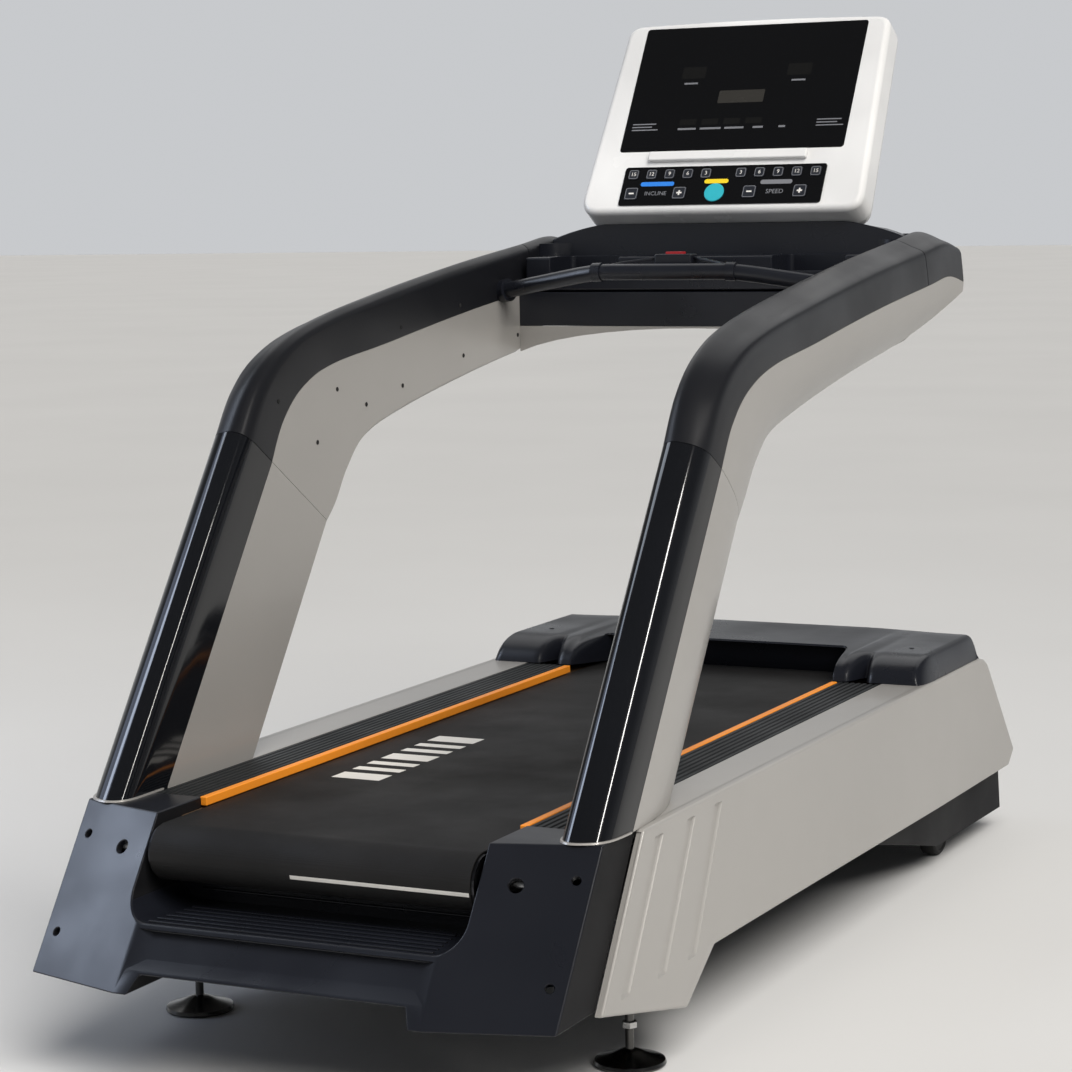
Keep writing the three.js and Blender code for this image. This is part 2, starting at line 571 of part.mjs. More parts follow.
function uprightFrame() {
  const ring = (shrink, s) => () => {
    const [x0, x1] = [POST.x[0] + shrink, POST.x[1] - shrink].map((x) => s * x);
    const [d0, d1] = [POST.depth[0] + shrink, POST.depth[1] - shrink];
    return [[x0, d0], [x1, d0], [x1, d1], [x0, d1]];
  };
  const bar = (shrink, s) => loft([
    ...sections([[-200 - shrink, -134], [585, 969]], [[75 - shrink, -321], [859, 785]], [0], ring(shrink, s)),
    ...sections(ARM_CREST, ARM_EDGE, armFractions(1, shrink ? 15.8 : 15.5), ring(shrink, s))]);
  const channel = box(-400, 400, BEAM.y[0] - 30, BEAM.y[1] - 4, BEAM.z[0] + 4, BEAM.z[1] - 4);
  let frame = solid(box(-420, 420, ...BEAM.y, ...BEAM.z)).subtract(solid(channel));
  for (const s of [-1, 1]) {
    const [a, b] = s > 0 ? POST.x : [-POST.x[1], -POST.x[0]];
    const riser = box(a, b, ...BEAM.y, BEAM.z[0], 1212);
    frame = frame.add(neck(s)).add(solid(bar(0, s))).add(solid(riser));
  }
  for (const s of [-1, 1]) frame = frame.subtract(solid(bar(POST.wall, s)));
  return geometryOf(frame.intersect(solid(box(-500, 500, 0, 2300, RAIL_Z[1] - 9.6, 1700))));
}

const beamHole = box(380, 392, BEAM.y[0] - 2, BEAM.y[1] + 2, BEAM.z[0] - 2, BEAM.z[1] + 2);
const noseCut = acrossX([[1980, 1160], [1915, 1150], [1650, 1052], [1650, 1000], [1980, 1000]], 380, 480);
addPair('handrail_shell', cut(arm(silverLine, 0, ARM_STATIONS), beamHole, noseCut), silver);
add('upright_frame', uprightFrame(), steelBlack);

// ---------- bridge between the handrails ----------
const BRIDGE = { half: 384.6, rear: 1650, front: 1924, lip: 1098, frontLow: 1150 };

// Rise of the rear wall that reaches the underside of the console.
function cowl(inset) {
  const side = [[1797 + inset, 1225], [1801 + inset, 1300 - 1.6 * inset], [1829, 1284 - 1.2 * inset],
    [1860 - 2 * inset, 1262 - inset], [1860 - 2 * inset, 1225]];
  const arch = [[380, 1225], [380, 1270], [345, 1284], [300, 1295], [240, 1302]];
  const right = arch.map(([x, z]) => [x - inset, z]);
  const left = right.map(([x, z]) => [-x, z]).reverse();
  return common(acrossX(side, -400, 400), alongY([...right, ...left], 1700, 1900));
}

function bridgeCover() {
  const { rear, front, lip } = BRIDGE;
  const outline = [[rear, lip], [rear, 1166], [1794, 1168], [1800, 1240], [1832, 1273], [front - 3, 1262],
    [front, BRIDGE.frontLow]];
  const hollow = [[rear + 3, 1000], [rear + 3, 1163], [1797, 1165], [1803, 1238], [1833, 1269.5],
    [front - 6, 1259], [front - 3, 1000]];
  const cap = arm(blackLine, CAP_STATION, ARM_STATIONS);
  let cover = solid(acrossX(outline, -BRIDGE.half, BRIDGE.half)).add(solid(cowl(0)))
    .subtract(solid(acrossX(hollow, -BRIDGE.half - 5, BRIDGE.half + 5))).subtract(solid(cowl(WALL)));
  for (const part of [cap, mirrored(cap)]) cover = cover.add(solid(part));
  for (const x of [-BRIDGE.half, BRIDGE.half]) {
    cover = cover.add(solid(box(x - 2.4, x + 2.4, 1812, 1919, 1195, 1250)));
  }
  cover = cover.add(solid(trays()));
  for (const s of [-1, 1]) cover = cover.subtract(neck(s, 2));
  return geometryOf(cover);
}

// Two deep trays with a shallow shelf between them.
function trays() {
  const pocket = (s) => {
    const [a, b] = s > 0 ? [150, 330] : [-330, -150];
    return box(a, b, 1664, 1786, 1182, 1300);
  };
  const shelf = box(-140, 140, 1664, 1786, 1224, 1300);
  return cut(box(-372, 372, 1654, 1799, 1164, 1236), pocket(1), pocket(-1), shelf);
}

// Silver lip: an arched rear face, a floor of the same arch that rises forwards under the beam, and a
// low front face.
function bridgeLip() {
  const { half, rear, front, lip, frontLow } = BRIDGE;
  const [ends, middle] = [1046, 1094];
  const rise = { beam: 18, front: 48 };
  const pull = (4 * middle - ends) / 3;
  const controls = [[-half, ends], [-230, pull], [230, pull], [half, ends]];
  const curve = new THREE.CubicBezierCurve(...controls.map((p) => new THREE.Vector2(...p)));
  const arch = (up) => curve.getPoints(14).map((p) => [p.x, p.y + up]);
  const face = (up, top, y) => alongY([...arch(up), [half, top], [-half, top]], y, y + WALL);
  const floor = (y0, y1, up0, up1) => {
    const slope = (up1 - up0) / (y1 - y0);
    const shear = new THREE.Matrix4().set(1, 0, 0, 0, 0, 1, 0, 0, 0, slope, 1, up0 - slope * y0, 0, 0, 0, 1);
    return alongY([...arch(0), ...arch(WALL).reverse()], y0, y1).applyMatrix4(shear);
  };
  return union(face(0, lip - GAP, rear), floor(rear + 1, BEAM.y[1], 0, rise.beam),
    floor(BEAM.y[1] - 1, front - 1, rise.beam, rise.front),
    face(rise.front, frontLow - 3 * GAP, front - WALL));
}

function handlebar() {
  const path = new THREE.CurvePath();
  const p = (x, y, z) => new THREE.Vector3(x, y, z);
  const [end, knee, turn] = [[384.4, 1572, 1171], [190, 1517, 1203], [120, 1505, 1210]];
  path.add(new THREE.LineCurve3(p(-end[0], end[1], end[2]), p(-knee[0], knee[1], knee[2])));
  path.add(new THREE.QuadraticBezierCurve3(p(-knee[0], knee[1], knee[2]), p(-143, 1505, 1210),
    p(-turn[0], turn[1], turn[2])));
  path.add(new THREE.LineCurve3(p(-turn[0], turn[1], turn[2]), p(...turn)));
  path.add(new THREE.QuadraticBezierCurve3(p(...turn), p(143, 1505, 1210), p(...knee)));
  path.add(new THREE.LineCurve3(p(...knee), p(...end)));
  const circle = new THREE.Shape().absarc(0, 0, 16, 0, Math.PI * 2, false);
  const bar = new THREE.ExtrudeGeometry(circle, { steps: 20, extrudePath: path, curveSegments: 10 });
  const brace = (s) => loft([[s * 150, 1500, 1214], [s * 36, 1562, 1232]].map(([x, y, z]) =>
    [[x, y, z], [x, y + 16, z], [x, y + 16, z + 7], [x, y, z + 7]]));
  const dock = cut(box(-39, 39, 1546, 1582, 1220, 1244), box(-20, 20, 1556, 1572, 1230, 1250));
  return common(union(bar, brace(1), brace(-1), dock), box(-384.4, 384.4, 1400, 1640, 1100, 1300));
}

add('bridge_cover', bridgeCover(), satinBlack);
add('bridge_lip', bridgeLip(), silver);
add('handlebar', handlebar(), satinBlack);
add('safety_key', union(box(-19, 19, 1557, 1571, 1231, 1243), box(-19, 19, 1559, 1569, 1240, 1248)), red);

// ---------- console ----------
const KEYPAD = { half: 219, y: [19, 109], window: 210 };
const SCREEN = { half: 244, y: [147.5, 448] };
const KEY_ROOM = 0.5;         // clearance round a key

function consoleOutline(inset, top = CONSOLE.height) {
  const [b, t, low, high] = [CONSOLE.bottom - inset, CONSOLE.top - inset, 4 + inset, top - inset];
  const [rb, rt] = [40 - inset, 32 - inset].map((r) => Math.max(r, 6));
  const shape = new THREE.Shape();
  shape.moveTo(-b + rb, low);
  shape.lineTo(b - rb, low);
  shape.quadraticCurveTo(b, low, b, low + rb);
  shape.lineTo(t, high - rt - 6);
  shape.quadraticCurveTo(t, high - 6, t - rt, high - 5);
  shape.quadraticCurveTo(0, high + 5, -t + rt, high - 5);
  shape.quadraticCurveTo(-t, high - 6, -t, high - rt - 6);
  shape.lineTo(-b, low + rb);
  shape.quadraticCurveTo(-b, low, -b + rb, low);
  return shape;
}

function slab(shape, z0, z1, bevel = 0) {
  return new THREE.ExtrudeGeometry(shape, {
    depth: z1 - z0 - bevel, bevelEnabled: bevel > 0, bevelThickness: bevel, bevelSize: bevel,
    bevelOffset: -bevel, bevelSegments: 3, curveSegments: 6,
  }).translate(0, 0, z0);
}

function consoleFront() {
  const wide = SCREEN.half + GAP;
  const screenBed = box(-wide, wide, SCREEN.y[0] - GAP, SCREEN.y[1] + GAP, CONSOLE.face - 2.8, 60);
  const body = solid(slab(consoleOutline(0), -30, CONSOLE.face, 12))
    .intersect(solid(box(-400, 400, -50, 600, -30, 60)))
    .subtract(solid(slab(consoleOutline(4), -60, CONSOLE.face - 6)))
    .subtract(solid(screenBed))
    .subtract(solid(box(-KEYPAD.window, KEYPAD.window, KEYPAD.y[0] + 3, KEYPAD.y[1] - 4, 0, 60)))
    .add(solid(box(-172, 172, 128, 141, CONSOLE.face - 4, CONSOLE.face + 9)));
  return onConsole(geometryOf(body));
}

function consoleBack() {
  const ring = (inset, z) => consoleOutline(inset).getPoints(6).slice(0, -1).map((p) => [p.x, p.y, z]);
  const outer = solid(loft([ring(1, -30 - GAP), ring(6, -52), ring(30, -78)]));
  const inner = solid(loft([ring(4, -20), ring(10, -52), ring(34, -78 + WALL)]));
  const shell = geometryOf(outer.subtract(inner));
  let world = solid(onConsole(shell));
  for (const s of [-1, 1]) world = world.subtract(neck(s, 2));
  return geometryOf(world);
}

// Keys: name, place across the keypad, height up the keypad, width, height; the start key is round.
const SMALL = { y: 91, size: 22 };
const LARGE = { y: 46, size: 28 };
const START_R = 21;
const START_SIDES = 16;
const KEY_DEPTH = 7;
const keys = [38, 78, 118, 158, 198].flatMap((x, i) => [
  { name: `incline_preset_key_${i + 1}`, x: -x, y: SMALL.y, half: SMALL.size / 2 },
  { name: `speed_preset_key_${i + 1}`, x, y: SMALL.y, half: SMALL.size / 2 },
]);
keys.push({ name: 'incline_down_key', x: -194, y: LARGE.y, half: LARGE.size / 2 });
keys.push({ name: 'incline_up_key', x: -88, y: LARGE.y, half: LARGE.size / 2 });
keys.push({ name: 'speed_down_key', x: 64, y: LARGE.y, half: LARGE.size / 2 });
keys.push({ name: 'speed_up_key', x: 172, y: LARGE.y, half: LARGE.size / 2 });
keys.push({ name: 'start_key', x: -12, y: LARGE.y, half: START_R, round: true });

function keyShape({ x, y, half, round }, grow, path) {
  const r = round ? half + grow : Math.min(5, half);
  const h = half + grow;
  if (round) {
    const rim = new THREE.EllipseCurve(x, y, r, r).getPoints(START_SIDES).slice(0, START_SIDES);
    return path.setFromPoints(rim);
  }
  path.moveTo(x - h + r, y - h);
  const corner = h - r;
  const corners = [[1, -1], [1, 1], [-1, 1], [-1, -1]];
  corners.forEach(([sx, sy], i) => {
    const from = (i - 1) * Math.PI / 2;
    path.absarc(x + sx * corner, y + sy * corner, r, from, from + Math.PI / 2, false);
  });
  return path;
}

function keypadPanel() {
  const [low, high] = KEYPAD.y;
  const shape = shapeOf([[-KEYPAD.half, low], [KEYPAD.half, low], [KEYPAD.half, high], [-KEYPAD.half, high]]);
  for (const key of keys) shape.holes.push(keyShape(key, KEY_ROOM, new THREE.Path()));
  return new THREE.ExtrudeGeometry(shape, { depth: 2, bevelEnabled: false, curveSegments: 1 })
    .translate(0, 0, CONSOLE.face + GAP);
}

add('console_front', consoleFront(), white);
add('console_back', consoleBack(), white);
const glass = box(-SCREEN.half, SCREEN.half, ...SCREEN.y, CONSOLE.face - 2.4, CONSOLE.face + 0.2);
add('console_screen', onConsole(glass), screenBlack);
add('keypad_panel', onConsole(keypadPanel()), screenBlack);
for (const key of keys) {
  const cap = new THREE.ExtrudeGeometry(keyShape(key, 0, new THREE.Shape()),
    { depth: KEY_DEPTH, bevelEnabled: false, curveSegments: 1 })
    .translate(0, 0, CONSOLE.face - 4 + KEY_TRAVEL);
  add(key.name, onConsole(cap), key.round ? cyan : keyGrey);
}

export default machine;
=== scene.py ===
"""A commercial treadmill: detailed shells, belt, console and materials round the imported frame.

Outlines are in millimetres. Their y is a station along the machine (0 is the rear datum, growing
towards the motor end), and their z is the height above the floor. at() turns a point of theirs into
the row frame. Most shells are made for the right-hand side and mirrored.
"""
import json
import math

import bmesh
import bpy
from mathutils import Matrix, Vector


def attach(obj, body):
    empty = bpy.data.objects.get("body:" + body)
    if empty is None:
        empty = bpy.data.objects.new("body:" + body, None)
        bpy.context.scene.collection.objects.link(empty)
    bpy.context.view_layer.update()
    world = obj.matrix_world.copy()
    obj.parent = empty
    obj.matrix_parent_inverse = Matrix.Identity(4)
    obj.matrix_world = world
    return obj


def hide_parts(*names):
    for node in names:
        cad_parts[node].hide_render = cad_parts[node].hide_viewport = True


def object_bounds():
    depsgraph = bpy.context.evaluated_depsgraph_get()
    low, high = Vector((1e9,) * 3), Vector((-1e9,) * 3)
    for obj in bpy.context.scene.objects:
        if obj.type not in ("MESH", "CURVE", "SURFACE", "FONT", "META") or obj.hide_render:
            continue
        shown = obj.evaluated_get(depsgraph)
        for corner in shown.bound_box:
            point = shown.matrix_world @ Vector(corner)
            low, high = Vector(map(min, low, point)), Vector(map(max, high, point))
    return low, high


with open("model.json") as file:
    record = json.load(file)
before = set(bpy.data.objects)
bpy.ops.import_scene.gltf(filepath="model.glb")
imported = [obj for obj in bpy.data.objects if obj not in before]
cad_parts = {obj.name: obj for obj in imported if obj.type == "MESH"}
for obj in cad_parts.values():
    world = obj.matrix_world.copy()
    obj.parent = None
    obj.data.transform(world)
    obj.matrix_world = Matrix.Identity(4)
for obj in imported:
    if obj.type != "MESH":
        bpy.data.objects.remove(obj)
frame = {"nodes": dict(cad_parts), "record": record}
cad_low, cad_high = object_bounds()
NODES = frame["nodes"]

# ---------- driving dimensions ----------
# In millimetres, except STATION and FLOOR_REACH in metres and the console's tilt in degrees.
MM = 0.001
REAR = -30
STATION = cad_low.y - REAR * MM
DECK = 403
HALF = 475
GAP = 0.4
WALL = 3.2
BELT_HALF = 283
ROLLER_Y = (150, 1950)
ROLLER_Z = 342.6
BELT_R = 45.4
TREAD = (297, 384.5)
TREAD_Y = (274, 1648)
CONSOLE = {"y": 1792, "z": 1305, "tilt": 58.5, "face": 28}
FLOOR_REACH = 60


def at(x, y, z):
    return Vector((x * MM, STATION + y * MM, z * MM))


def smoothstep(a, b, value):
    t = min(1.0, max(0.0, (value - a) / (b - a)))
    return t * t * (3 - 2 * t)


def mix(a, b, t):
    return a + (b - a) * t


def bent(a, b, c, t):
    """A point on the curve that leaves a towards b and comes into c from b."""
    return a.lerp(b, t).lerp(b.lerp(c, t), t)


def arc(x, y, radius, start, sweep, steps):
    """Points along an arc, from start degrees on through sweep degrees."""
    points = []
    for i in range(steps + 1):
        a = math.radians(start + sweep * i / steps)
        points.append((x + radius * math.cos(a), y + radius * math.sin(a)))
    return points


# ---------- materials ----------
class Shader:
    """A principled material that is put together node by node."""

    def __init__(self, name, color, roughness, metallic=0.0, coat=0.0, specular=0.5):
        self.material = bpy.data.materials.new(name)
        self.material.use_nodes = True
        self.nodes = self.material.node_tree.nodes
        self.links = self.material.node_tree.links
        self.base = self.nodes["Principled BSDF"]
        self.color = (*color, 1.0)
        self.base.inputs["Base Color"].default_value = self.color
        self.base.inputs["Roughness"].default_value = roughness
        self.base.inputs["Metallic"].default_value = metallic
        self.base.inputs["Coat Weight"].default_value = coat
        self.base.inputs["Coat Roughness"].default_value = 0.06
        self.base.inputs["Specular IOR Level"].default_value = specular
        self.place = self.add("ShaderNodeTexCoord").outputs["Object"]
        self.height = None

    def add(self, kind, **inputs):
        node = self.nodes.new(kind)
        for key, value in inputs.items():
            node.inputs[key.replace("_", " ")].default_value = value
        return node

    def stretched(self, scale):
        node = self.add("ShaderNodeMapping")
        node.inputs["Scale"].default_value = scale
        self.links.new(self.place, node.inputs["Vector"])
        return node.outputs["Vector"]

    def noise(self, scale, detail=3.0, stretch=(1, 1, 1)):
        node = self.add("ShaderNodeTexNoise", Scale=scale, Detail=detail)
        self.links.new(self.stretched(stretch), node.inputs["Vector"])
        return node.outputs["Fac"]

    def mottle(self, scale, amount, stretch=(1, 1, 1)):
        """Lets the colour drift lighter and darker."""
        ramp = self.add("ShaderNodeValToRGB")
        ramp.color_ramp.elements[0].position = 0.3
        ramp.color_ramp.elements[1].position = 0.7
        for element, gain in zip(ramp.color_ramp.elements, (1 - amount, 1 + amount)):
            element.color = (*[min(1.0, c * gain) for c in self.color[:3]], 1.0)
        self.links.new(self.noise(scale, stretch=stretch), ramp.inputs["Fac"])
        self.links.new(ramp.outputs["Color"], self.base.inputs["Base Color"])
        return self

    def uneven(self, scale, low, high, stretch=(1, 1, 1)):
        """Lets the roughness wander between two values, as handling and wiping leave it."""
        span = self.add("ShaderNodeMapRange")
        span.inputs["From Min"].default_value = 0.3
        span.inputs["From Max"].default_value = 0.7
        span.inputs["To Min"].default_value = low
        span.inputs["To Max"].default_value = high
        self.links.new(self.noise(scale, 5.0, stretch), span.inputs["Value"])
        self.links.new(span.outputs["Result"], self.base.inputs["Roughness"])
        return self

    def bump(self, source, strength, distance):
        node = self.add("ShaderNodeBump", Strength=strength, Distance=distance)
        self.links.new(source, node.inputs["Height"])
        if self.height:
            self.links.new(self.height, node.inputs["Normal"])
        self.height = node.outputs["Normal"]
        self.links.new(self.height, self.base.inputs["Normal"])
        return self

    def grain(self, scale, strength, distance=0.0004, stretch=(1, 1, 1)):
        return self.bump(self.noise(scale, 2.0, stretch), strength, distance)

    def weave(self, scale, strength):
        """Crossed ribs of a woven cover."""
        waves = []
        for direction in ("X", "Y"):
            wave = self.add("ShaderNodeTexWave", Scale=scale, Distortion=0.6)
            wave.bands_direction = direction
            self.links.new(self.place, wave.inputs["Vector"])
            waves.append(wave.outputs["Fac"])
        product = self.add("ShaderNodeMath")
        product.operation = "MULTIPLY"
        for socket, wave in zip(product.inputs, waves):
            self.links.new(wave, socket)
        return self.bump(product.outputs["Value"], strength, 0.0006)


def moulded(name, color, roughness, spread=0.08, grain=0.12, specular=0.5):
    shader = Shader(name, color, roughness, specular=specular).mottle(3.0, 0.12)
    shader.uneven(5.0, roughness - spread, roughness + spread)
    return shader.grain(1400.0, grain, 0.0003).material


def metal(name, color, roughness):
    stretch = (1, 40, 40)
    shader = Shader(name, color, roughness, metallic=1.0).mottle(12.0, 0.08)
    shader.uneven(60.0, roughness - 0.07, roughness + 0.1, stretch)
    return shader.grain(300.0, 0.06, 0.0002, stretch).material


def belt_material():
    shader = Shader("belt", (0.0125, 0.012, 0.0118), 0.68, specular=0.3)
    shader.mottle(2.2, 0.35, (1, 0.35, 1)).uneven(7.0, 0.58, 0.76)
    return shader.weave(240.0, 0.45).grain(700.0, 0.25, 0.0006).material


def silver_material():
    shader = Shader("silver", (0.405, 0.391, 0.370), 0.34, metallic=0.35, coat=0.2).mottle(1.6, 0.05)
    return shader.uneven(3.0, 0.31, 0.42).grain(1800.0, 0.05, 0.0002).material


def gloss_material():
    shader = Shader("gloss_black", (0.004, 0.0045, 0.006), 0.07, coat=0.15).mottle(3.0, 0.15)
    return shader.uneven(9.0, 0.05, 0.1, (1, 1, 0.3)).grain(60.0, 0.015, 0.0004).material


def wood_material():
    shader = Shader("deck", (0.14, 0.085, 0.045), 0.6).mottle(9.0, 0.3, (1, 0.08, 1))
    return shader.grain(90.0, 0.2, 0.0004, (1, 0.05, 1)).material


MATERIALS = {
    "frame_steel": moulded("frame_steel", (0.012, 0.012, 0.014), 0.42, grain=0.3),
    # the lower pan's darker, duller black; the rear housing's sideways faces get it too, as painted shade
    "pan": moulded("pan", (0.008, 0.008, 0.009), 0.6, grain=0.3, specular=0.2),
    "deck": wood_material(),
    "belt": belt_material(),
    "rubber": moulded("rubber", (0.012, 0.012, 0.012), 0.75, grain=0.4),
    "roller_steel": metal("roller_steel", (0.06, 0.06, 0.064), 0.42),
    "zinc": metal("zinc", (0.56, 0.56, 0.55), 0.28),
    "foot_metal": metal("foot_metal", (0.1, 0.098, 0.095), 0.2),
    "tread": moulded("tread", (0.010, 0.0112, 0.012), 0.5, grain=0.35, specular=0.28),
    "accent": moulded("accent", (0.95, 0.30, 0.02), 0.42),
    "black_plastic": moulded("black_plastic", (0.0085, 0.0095, 0.0135), 0.3, grain=0.06),
    "grip": moulded("grip", (0.008, 0.0084, 0.0105), 0.36, grain=0.2, specular=0.36),
    "gloss_black": gloss_material(),
    "silver": silver_material(),
    "white_plastic": moulded("white_plastic", (0.76, 0.76, 0.755), 0.24, 0.05, 0.03),
    "screen": moulded("screen", (0.0025, 0.0025, 0.003), 0.1, 0.04, 0.0),
    "red_plastic": moulded("red_plastic", (0.35, 0.015, 0.02), 0.35),
    "key": moulded("key", (0.016, 0.018, 0.024), 0.34),
    "start_key": moulded("start_key", (0.03, 0.42, 0.50), 0.38),
    "print_white": moulded("print_white", (0.74, 0.72, 0.68), 0.55),
    "print_grey": moulded("print_grey", (0.19, 0.194, 0.21), 0.5),
    "print_blue": moulded("print_blue", (0.03, 0.22, 0.75), 0.4),
    "print_yellow": moulded("print_yellow", (0.85, 0.62, 0.02), 0.4),
    "display": moulded("display", (0.0065, 0.0063, 0.006), 0.2),
    "lcd": moulded("lcd", (0.034, 0.032, 0.028), 0.3),
}


# ---------- mesh tools ----------
def placed(name, data):
    obj = bpy.data.objects.new(name, data)
    bpy.context.scene.collection.objects.link(obj)
    return obj


def raw(name, points, faces):
    mesh = bpy.data.meshes.new(name)
    mesh.from_pydata([tuple(p) for p in points], [], faces)
    shape = bmesh.new()
    shape.from_mesh(mesh)
    bmesh.ops.remove_doubles(shape, verts=shape.verts, dist=1e-6)
    bmesh.ops.recalc_face_normals(shape, faces=shape.faces)
    shape.to_mesh(mesh)
    shape.free()
    return placed(name, mesh)


def baked(obj):
    """Applies the modifiers of an object."""
    graph = bpy.context.evaluated_depsgraph_get()
    mesh = bpy.data.meshes.new_from_object(obj.evaluated_get(graph))
    obj.modifiers.clear()
    obj.data = mesh
    return obj


def loft(name, rings):
    """A closed skin through rings of points, with flat ends."""
    count = len(rings[0])
    faces = []
    for r in range(len(rings) - 1):
        for i in range(count):
            j = (i + 1) % count
            faces.append((r * count + i, r * count + j, (r + 1) * count + j, (r + 1) * count + i))
    faces.append(tuple(range(count)))
    faces.append(tuple(range((len(rings) - 1) * count, len(rings) * count)))
    return raw(name, [p for ring in rings for p in ring], faces)


def across_x(name, outline, x0, x1):
    return loft(name, [[at(x, y, z) for y, z in outline] for x in (x0, x1)])


def along_y(name, outline, y0, y1):
    return loft(name, [[at(x, y, z) for x, z in outline] for y in (y0, y1)])


def block(name, x, y, z):
    return across_x(name, [(y[0], z[0]), (y[1], z[0]), (y[1], z[1]), (y[0], z[1])], *x)


def lathe(name, profile, origin, axis, sides):
    """Turns (radius, height) points about an axis through origin, heights along the axis."""
    turn = Vector((0, 0, 1)).rotation_difference(Vector(axis)).to_matrix()
    rings = []
    for radius, height in profile:
        ring = []
        for i in range(sides):
            a = 2 * math.pi * i / sides
            ring.append(origin + turn @ Vector((radius * math.cos(a), radius * math.sin(a), height)) * MM)
        rings.append(ring)
    return loft(name, rings)


def tube(name, path, radius, sides=28):
    """A round bar of the given radius, in millimetres, along points of the row frame."""
    rings = []
    side = None
    for i, p in enumerate(path):
        along = (path[min(i + 1, len(path) - 1)] - path[max(i - 1, 0)]).normalized()
        side = along.cross(Vector((0, 0, 1))).normalized() if side is None else side
        side = (side - along * side.dot(along)).normalized()
        up = side.cross(along)
        ring = []
        for k in range(sides):
            a = 2 * math.pi * k / sides
            ring.append(p + (side * math.cos(a) + up * math.sin(a)) * radius * MM)
        rings.append(ring)
    return loft(name, rings)


def cut(obj, *others):
    """Takes the other bodies out of an object."""
    for other in others:
        change = obj.modifiers.new("cut", "BOOLEAN")
        change.operation = "DIFFERENCE"
        change.solver = "EXACT"
        change.object = other
        baked(obj)
        bpy.data.objects.remove(other)
    return obj


def rounded(obj, width, segments=3, angle=32):
    change = obj.modifiers.new("round", "BEVEL")
    change.width = width * MM
    change.segments = segments
    change.limit_method = "ANGLE"
    change.angle_limit = math.radians(angle)
    change.use_clamp_overlap = True
    return baked(obj)


def merged(name, objects):
    """Puts several closed bodies into one object, each with its own materials."""
    points, faces, slots, materials = [], [], [], []
    for obj in objects:
        start = len(points)
        for m in obj.data.materials:
            if m not in materials:
                materials.append(m)
        points += [v.co.copy() for v in obj.data.vertices]
        for polygon in obj.data.polygons:
            faces.append(tuple(start + v for v in polygon.vertices))
            own = obj.data.materials[polygon.material_index] if obj.data.materials else None
            slots.append(materials.index(own) if own else 0)
        bpy.data.objects.remove(obj)
    mesh = bpy.data.meshes.new(name)
    mesh.from_pydata(points, [], faces)
    for m in materials:
        mesh.materials.append(m)
    mesh.polygons.foreach_set("material_index", slots)
    return placed(name, mesh)


def painted(obj, key):
    obj.data.materials.clear()
    obj.data.materials.append(MATERIALS[key])
    return obj


SLOTS = {entry["node"]: entry["material_slot"] for entry in frame["record"]["subparts"]}
for cad_node, cad_slot in SLOTS.items():
    painted(NODES[cad_node], cad_slot)


def mirrored(obj, name):
    mesh = obj.data.copy()
    mesh.transform(Matrix.Scale(-1, 4, (1, 0, 0)))
    mesh.flip_normals()
    return placed(name, mesh)


def piece(obj, name, slot, replaces=(), body="root", smooth=34, finish=None):
    """Names a finished object, shades it, and lets it stand for its CAD nodes."""
    obj.name = name
    if not obj.data.materials:
        painted(obj, finish or slot)
    obj.data.shade_smooth()
    obj.data.set_sharp_from_angle(angle=math.radians(smooth))
    even = obj.modifiers.new("even", "WEIGHTED_NORMAL")
    even.keep_sharp = True
    even.weight = 90
    baked(obj)
    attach(obj, body)
    if replaces:
        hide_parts(*replaces)


def pair(obj, name, slot, nodes=(), **more):
    """The right-hand piece and its mirror image on the left."""
    left = mirrored(obj, f"{name}_left")
    piece(obj, f"{name}_right", slot, [f"{n}_right" for n in nodes], **more)
    piece(left, f"{name}_left", slot, [f"{n}_left" for n in nodes], **more)


def refined(node, width):
    """A copy of a CAD node with its sharp edges rounded."""
    obj = placed(f"{node}_fine", NODES[node].data.copy())
    shape = bmesh.new()
    shape.from_mesh(obj.data)
    bmesh.ops.remove_doubles(shape, verts=shape.verts, dist=2e-6)
    flat = math.radians(1)
    bmesh.ops.dissolve_limit(shape, angle_limit=flat, verts=shape.verts, edges=shape.edges)
    shape.to_mesh(obj.data)
    shape.free()
    return rounded(obj, width, 2)


# ---------- deck ----------
def running_belt():
    thickness = 3
    front = arc(ROLLER_Y[1], ROLLER_Z, BELT_R, -90, 180, 28)
    rear = arc(ROLLER_Y[0], ROLLER_Z, BELT_R, 90, 180, 28)
    rings = []
    for y, z in front + rear:
        centre = min(max(y, ROLLER_Y[0]), ROLLER_Y[1])
        out = Vector((y - centre, z - ROLLER_Z)).normalized()
        inner = (y - out.x * thickness, z - out.y * thickness)
        corners = ((-BELT_HALF, y, z), (BELT_HALF, y, z), (BELT_HALF, *inner), (-BELT_HALF, *inner))
        rings.append([at(*corner) for corner in corners])
    count = len(rings)
    faces = []
    for r in range(count):
        for i in range(4):
            j = (i + 1) % 4
            faces.append((r * 4 + i, r * 4 + j, (r + 1) % count * 4 + j, (r + 1) % count * 4 + i))
    belt = raw("running_belt_fine", [p for ring in rings for p in ring], faces)
    piece(rounded(belt, 0.8, 2, 60), "belt_surface", "belt", ["running_belt"])


